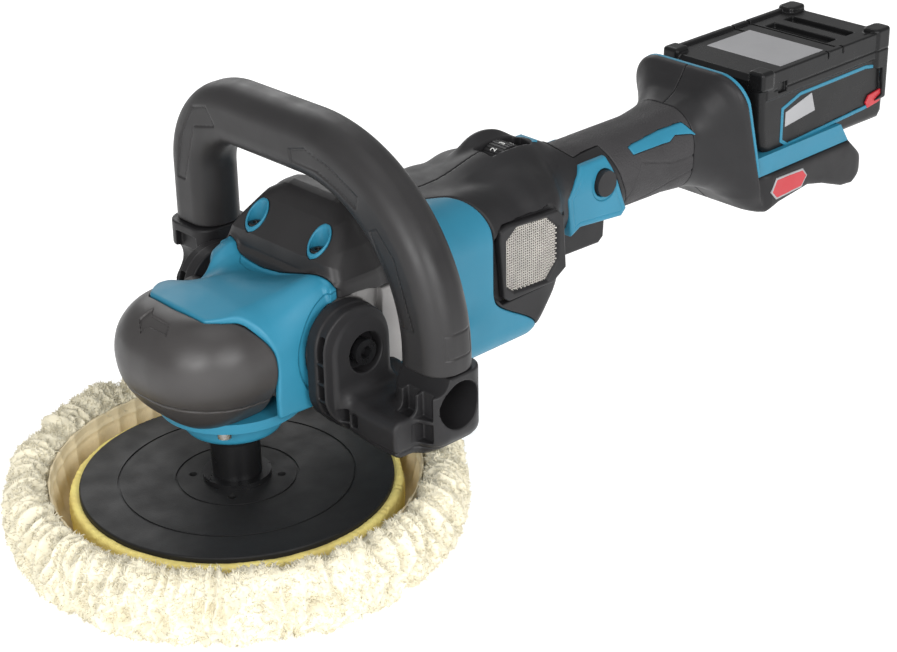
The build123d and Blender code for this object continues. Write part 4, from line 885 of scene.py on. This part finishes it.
def woven_mesh(name, sign):
    """Woven wires filling the vent frame's opening."""
    pitch, wire, sides = 1.45, 0.36, 5
    low, high = np.array([147.2, 93.8]), np.array([185.4, 131.2])
    rows, faces = [], []
    count = 0
    around = np.arange(sides) * 2 * math.pi / sides
    for axis in (0, 1):
        cross = 1 - axis
        places = np.arange(low[cross], high[cross], pitch)
        for number, at in enumerate(places):
            along = np.arange(low[axis], high[axis], pitch / 2)
            pair = np.zeros((len(along), 2))
            pair[:, axis], pair[:, cross] = along, at
            inside = polygon(pair[:, 0], pair[:, 1], FRAME_IN) < 0.7
            if inside.sum() < 3:
                continue
            pair, along = pair[inside], along[inside]
            phase = math.pi * (along - low[axis]) / pitch + math.pi * (number + axis)
            wave = 0.34 * np.cos(phase) * (1 if axis else -1)
            ring = np.zeros((len(along), sides, 3))
            ring[:, :, 0] = pair[:, 0, None] + wire * np.cos(around) * (axis == 1)
            ring[:, :, 2] = pair[:, 1, None] + wire * np.cos(around) * (axis == 0)
            ring[:, :, 1] = sign * (41.1 + wave[:, None] + wire * np.sin(around))
            rows.append(ring.reshape(-1, 3))
            i, j = np.meshgrid(np.arange(len(along) - 1), np.arange(sides), indexing="ij")
            a, b = i * sides + j, i * sides + (j + 1) % sides
            faces.append(count + np.stack([a, b, b + sides, a + sides], -1).reshape(-1, 4))
            count += len(along) * sides
    return mesh_object(name, np.concatenate(rows), np.concatenate(faces))


for side_name, sign in (("left", -1), ("right", 1)):
    near, far = sorted((sign * 38, sign * 43.5))
    place(carve(f"mesh_frame_{side_name}", vent_frame(sign), (141, near, 90), (193, far, 135), 0.5),
          "root", BLACK, "black_plastic", f"mesh_frame_{side_name}")
    place(woven_mesh(f"mesh_{side_name}", sign), "root", WIRE, "steel_mesh", f"mesh_{side_name}")


# Sheet just behind the vent meshes, in the darkest black: painted shade standing in for the shaded
# space behind the mesh.
def vent_back(x, y, z):
    return smax(polygon(x, z, FRAME_OUT) + 1.5, span(np.abs(y), 37.2, 38.2), 0.3)


piece(vent_back, (143, -39, 91), (191, 39, 133), 0.8,
      "root", DARK_AND_SHADE, "black_plastic")


def side_plate(sign):
    def shape(x, y, z):
        side = sign * y
        outline = polygon(x, z, PLATE)
        button = np.hypot(x - BUTTON_X, z - BUTTON_Z)
        face = 23.6 - 0.018 * np.maximum(z - 122, 0) ** 2
        plate = smax(smax(outline + 0.15, side - face, 1.6), 15 - side, 0.3)
        plate = plate + 0.3 * np.exp(-((outline + 3.5) / 0.4) ** 2) * ramp(side, 22, 23)
        plate = cut(plate, button - 7.7, 0.9)
        return cut(plate, smax(button - 10, 22.9 - side, 0.3), 0.6)
    return shape


for side_name, sign in (("left", -1), ("right", 1)):
    near, far = sorted((sign * 14, sign * 24))
    place(carve(f"side_plate_{side_name}", side_plate(sign), (212, near, 99), (261, far, 139), 0.5),
          "root", BLUE, "blue_plastic", f"side_plate_{side_name}")


# ---- speed dial numerals
DIAL_MIDDLE = Vector((186, -1, 144))
DIAL_R = 13.02


def numeral(text, turn):
    """One generic figure on the dial's edge."""
    curve = bpy.data.curves.new(f"dial_figure_{text}", "FONT")
    curve.body = text
    curve.size = 5.2 * MM
    curve.extrude = 0.05 * MM
    curve.align_x = "CENTER"
    curve.align_y = "CENTER"
    obj = bpy.data.objects.new(curve.name, curve)
    out = Vector((math.cos(turn), 0, math.sin(turn)))
    along = Vector((0, 1, 0))
    across = along.cross(out)
    spot = (DIAL_MIDDLE + out * DIAL_R) * MM
    obj.matrix_world = Matrix([(*row, e) for row, e in zip(zip(across, along, out), spot)]
                              + [(0, 0, 0, 1)])
    bpy.context.scene.collection.objects.link(obj)
    curve.materials.append(NUMERAL)
    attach(obj, "speed_dial")


for step, text in enumerate("12345"):
    numeral(text, math.radians(150 - 30 * step))


# ---- bonnet and foam
SAG_DEPTH, SAG_TURN = 6.0, -2.215


def sag(angle, z):
    """Droop of the bonnet's rim, deepest at the front left."""
    return -SAG_DEPTH * (0.5 + 0.5 * np.cos(angle - SAG_TURN)) ** 2 * ramp(z, 14, 42)


def lathe(name, profile, around, swell, droops=False):
    """Closed ring of the profile's points, pushed along their normals by swell."""
    profile = np.array(profile, float)
    tangent = np.roll(profile, -1, 0) - np.roll(profile, 1, 0)
    normal = np.stack([tangent[:, 1], -tangent[:, 0]], 1)
    normal /= np.maximum(np.linalg.norm(normal, axis=1), 1e-6)[:, None]
    angle = np.arange(around) * 2 * math.pi / around
    push = swell(angle[:, None], profile[None, :, 0], profile[None, :, 1])
    radius = profile[None, :, 0] + push * normal[None, :, 0]
    height = profile[None, :, 1] + push * normal[None, :, 1]
    if droops:
        height = height + sag(angle[:, None], profile[None, :, 1])
    points = np.stack([radius * np.cos(angle)[:, None], radius * np.sin(angle)[:, None],
                       height], -1).reshape(-1, 3)
    n = len(profile)
    i, j = np.meshgrid(np.arange(around), np.arange(n), indexing="ij")
    i2, j2 = (i + 1) % around, (j + 1) % n
    faces = np.stack([i * n + j, i2 * n + j, i2 * n + j2, i * n + j2], -1).reshape(-1, 4)
    return mesh_object(name, points, faces)


def resample(points, spacing):
    """Points at even spacing along a polyline."""
    points = np.array(points, float)
    length = np.concatenate([[0], np.cumsum(np.linalg.norm(np.diff(points, axis=0), axis=1))])
    at = np.linspace(0, length[-1], max(int(length[-1] / spacing), 2))
    return np.stack([np.interp(at, length, points[:, k]) for k in (0, 1)], 1).tolist()


def smooth_line(points, rounds=3):
    """Chaikin corner cutting."""
    points = np.array(points, float)
    for _ in range(rounds):
        a, b = points[:-1], points[1:]
        inner = np.stack([a * 0.75 + b * 0.25, a * 0.25 + b * 0.75], 1).reshape(-1, 2)
        points = np.concatenate([points[:1], inner, points[-1:]])
    return points


WOOL_OUTER = smooth_line([(97, 0.9), (104, 3.2), (110, 9), (113.6, 17), (114.2, 27), (113, 36),
                          (110, 43), (105, 46.6), (99.5, 45.6), (95.5, 41.5), (93.5, 35)])
WOOL_SPACE = 0.85
WOOL_PROFILE = ([(0.02, 1.0)] + resample([(8, 1), (96, 0.9)], 6)
                + resample(WOOL_OUTER, WOOL_SPACE)
                + resample([(92.5, 34), (91.6, 13)], 4) + resample([(88, 11), (6, 10.5)], 6)
                + [(0.02, 10.5)])


def wool_height(angle, r, z):
    """Puffs of the pile: a broad swell, and three sizes of lump with creases between them."""
    at = (110 * np.cos(angle), 110 * np.sin(angle), 0.62 * z + 0.3 * r)
    big = noise(at, 34, 3)
    warp = 3.0 * noise(at, 22, 4)
    bent = (at[0] + warp, at[1] - warp, at[2] + 0.4 * warp)
    puff = 0
    for scale, amount, seed in ((15, 1.6, 5), (8, 0.85, 6), (4, 0.25, 8)):
        puff = puff + amount * (1 - 2.2 * np.abs(noise(bent, scale, seed)))
    wool = ramp(r, 60, 100) * ramp(z, -2, 3)
    inner = 1 - 0.6 * ramp(z, 44, 38) * ramp(r, 96, 92)
    return (big + puff) * wool * inner


wool_pile = lathe("wool_pile", WOOL_PROFILE, 1250, wool_height, droops=True)
place(wool_pile, "spindle", WOOL, "wool", "wool_bonnet")


def pleats(angle, r, z):
    """Gathered folds of the lining, with a stitched line near its top."""
    wander = noise((60 * np.cos(angle), 60 * np.sin(angle), 0), 40, 9)
    fold = np.abs(np.sin(19 * angle + 1.6 * wander + 0.02 * z))
    wall = ramp(r, 84, 88) * ramp(z, 12, 20)
    stitch = np.exp(-((z - 33) / 0.8) ** 2)
    return (1.3 * (0.5 - fold) * (0.4 + 0.6 * ramp(z, 44, 16)) + 0.7 * stitch) * wall


LINING_PROFILE = ([(0.02, 12.0)] + resample([(0.3, 11.1), (88.5, 11.2)], 3)
                  + resample(smooth_line([(89.4, 12), (91.4, 24), (92.6, 39)]), 1.2)
                  + resample(smooth_line([(91.6, 39), (90.4, 28), (88, 15), (83, 12)]), 0.9)
                  + resample([(82, 12), (0.3, 12)], 3))
lining = lathe("bonnet_lining", LINING_PROFILE, 1000, pleats, droops=True)
place(lining, "spindle", LINING, "wool")

FOAM_PROFILE = ([(0.02, 12.6)] + resample([(2, 12.6), (79, 12.6)], 4)
                + resample(smooth_line([(80, 12.6), (82.4, 13.4), (83, 20), (82.9, 28), (82.2, 30.3),
                                        (80.2, 30.8), (77.6, 29.9)]), 0.7)
                + resample([(76, 29.8), (2, 29.8)], 4) + [(0.02, 29.8)])


def foam_skin(angle, r, z):
    at = (r * np.cos(angle), r * np.sin(angle), z)
    edge = ramp(r, 76, 80)
    return (0.35 * noise(at, 24, 11) + 0.16 * noise(at, 3.2, 12)) * edge


foam = lathe("foam_pad", FOAM_PROFILE, 1100, foam_skin)
place(foam, "spindle", FOAM, "yellow_foam", "foam_pad")


def locks(name, count, seed):
    """Short curved tapering tufts rooted on the pile."""
    pick = np.random.default_rng(seed)
    angle = pick.uniform(0, 2 * math.pi, count)
    which = pick.integers(3, len(WOOL_OUTER) - 2, count)
    step = pick.uniform(0, 1, count)
    start, end = WOOL_OUTER[which], WOOL_OUTER[which + 1]
    base = start * (1 - step)[:, None] + end * step[:, None]
    tangent = end - start
    tangent /= np.linalg.norm(tangent, axis=1)[:, None]
    normal = np.stack([tangent[:, 1], -tangent[:, 0]], 1)
    push = np.array([float(wool_height(a, r, z)) for a, (r, z) in zip(angle, base)])
    droop = sag(angle, base[:, 1])
    base = base + normal * (push - 0.9)[:, None]
    base[:, 1] += droop

    def turned(pair, side):
        return np.stack([pair[:, 0] * np.cos(angle) - side * np.sin(angle),
                         pair[:, 0] * np.sin(angle) + side * np.cos(angle), pair[:, 1]], 1)

    root = turned(base, np.zeros(count))
    out = turned(normal, np.zeros(count))
    along = turned(tangent, pick.normal(0, 0.7, count))
    across = np.cross(out, along)
    across /= np.linalg.norm(across, axis=1)[:, None]
    along /= np.linalg.norm(along, axis=1)[:, None]
    length = pick.uniform(2.0, 3.6, count)
    drift = pick.normal(0, 0.55, count)
    curl = pick.normal(0, 0.5, count)
    sizes = [0.42, 0.36, 0.22, 0.04]
    corners = 3
    rings = []
    for number, size in enumerate(sizes):
        t = number / (len(sizes) - 1)
        spot = (root + out * (length * t * (1 - 0.25 * t))[:, None]
                + along * (length * drift * t * t)[:, None]
                + across * (length * curl * t * t)[:, None])
        for k in range(corners):
            turn = 2 * math.pi * k / corners
            rings.append(spot + size * (math.cos(turn) * along + math.sin(turn) * across))
    points = np.stack(rings, 1).reshape(-1, 3)
    first = np.arange(count)[:, None] * len(sizes) * corners
    quads = []
    for number in range(len(sizes) - 1):
        for k in range(corners):
            a, b = number * corners + k, number * corners + (k + 1) % corners
            quads.append(first + np.array([a, b, b + corners, a + corners]))
    return mesh_object(name, points, np.stack(quads, 1).reshape(-1, 4))


for number in range(3):
    tufts = locks(f"wool_tufts_{number + 1}", 9000, 20 + number)
    place(tufts, "spindle", WOOL, "wool")


# ---- floor, light and camera
def floor():
    """Plain pale floor, bright enough to read as white."""
    size = 6.0
    mesh = bpy.data.meshes.new("floor")
    mesh.from_pydata([(-size, -size, 0), (size, -size, 0), (size, size, 0), (-size, size, 0)], [],
                     [(0, 1, 2, 3)])
    obj = bpy.data.objects.new("floor", mesh)
    bpy.context.scene.collection.objects.link(obj)
    mat = bpy.data.materials.new("floor_white")
    mat.use_nodes = True
    sockets = mat.node_tree.nodes["Principled BSDF"].inputs
    sockets["Base Color"].default_value = (0.93, 0.93, 0.93, 1)
    sockets["Roughness"].default_value = 0.9
    sockets["Emission Color"].default_value = (1, 1, 1, 1)
    sockets["Emission Strength"].default_value = 0.47
    mesh.materials.append(mat)


def area_light(name, place_at, aim, size, watts):
    """Large soft square light."""
    lamp = bpy.data.lights.new(name, "AREA")
    lamp.shape = "SQUARE"
    lamp.size = size
    lamp.energy = watts
    obj = bpy.data.objects.new(name, lamp)
    obj.location = place_at
    obj.rotation_euler = (Vector(aim) - Vector(place_at)).to_track_quat("-Z", "Y").to_euler()
    bpy.context.scene.collection.objects.link(obj)


floor()
MIDDLE = (0.19, 0.0, 0.09)
for lamp_name, spot, size, watts in (("key", (-1.25, -0.85, 0.75), 0.8, 19),
                                     ("fill", (-0.1, -1.6, 0.75), 0.8, 17),
                                     ("top", (0.2, -0.2, 1.9), 1.2, 5),
                                     ("back", (0.9, 1.4, 1.0), 1.2, 9)):
    area_light(lamp_name, spot, MIDDLE, size, watts)

world = bpy.data.worlds.new("studio")
world.use_nodes = True
world.node_tree.nodes["Background"].inputs["Color"].default_value = (1, 1, 1, 1)
world.node_tree.nodes["Background"].inputs["Strength"].default_value = 0.38
bpy.context.scene.world = world
bpy.context.scene.view_settings.view_transform = "Standard"

eye = Vector((-0.5467, -0.7356, 0.5561))
target = Vector((0.14574, 0.0, 0.06396))
ROLL = math.radians(-1.04)
forward = (target - eye).normalized()
right = forward.cross(Vector((0, 0, 1))).normalized()
up = right.cross(forward)
right, up = (math.cos(ROLL) * right + math.sin(ROLL) * up,
             math.cos(ROLL) * up - math.sin(ROLL) * right)
lens = bpy.data.cameras.new("camera")
lens.lens = 84.65
lens.sensor_width = 36
lens.sensor_fit = "HORIZONTAL"
camera = bpy.data.objects.new("camera", lens)
camera.matrix_world = Matrix([(*row, e) for row, e in
                              zip(zip(right, up, -forward), eye)] + [(0, 0, 0, 1)])
bpy.context.scene.collection.objects.link(camera)
bpy.context.scene.camera = camera
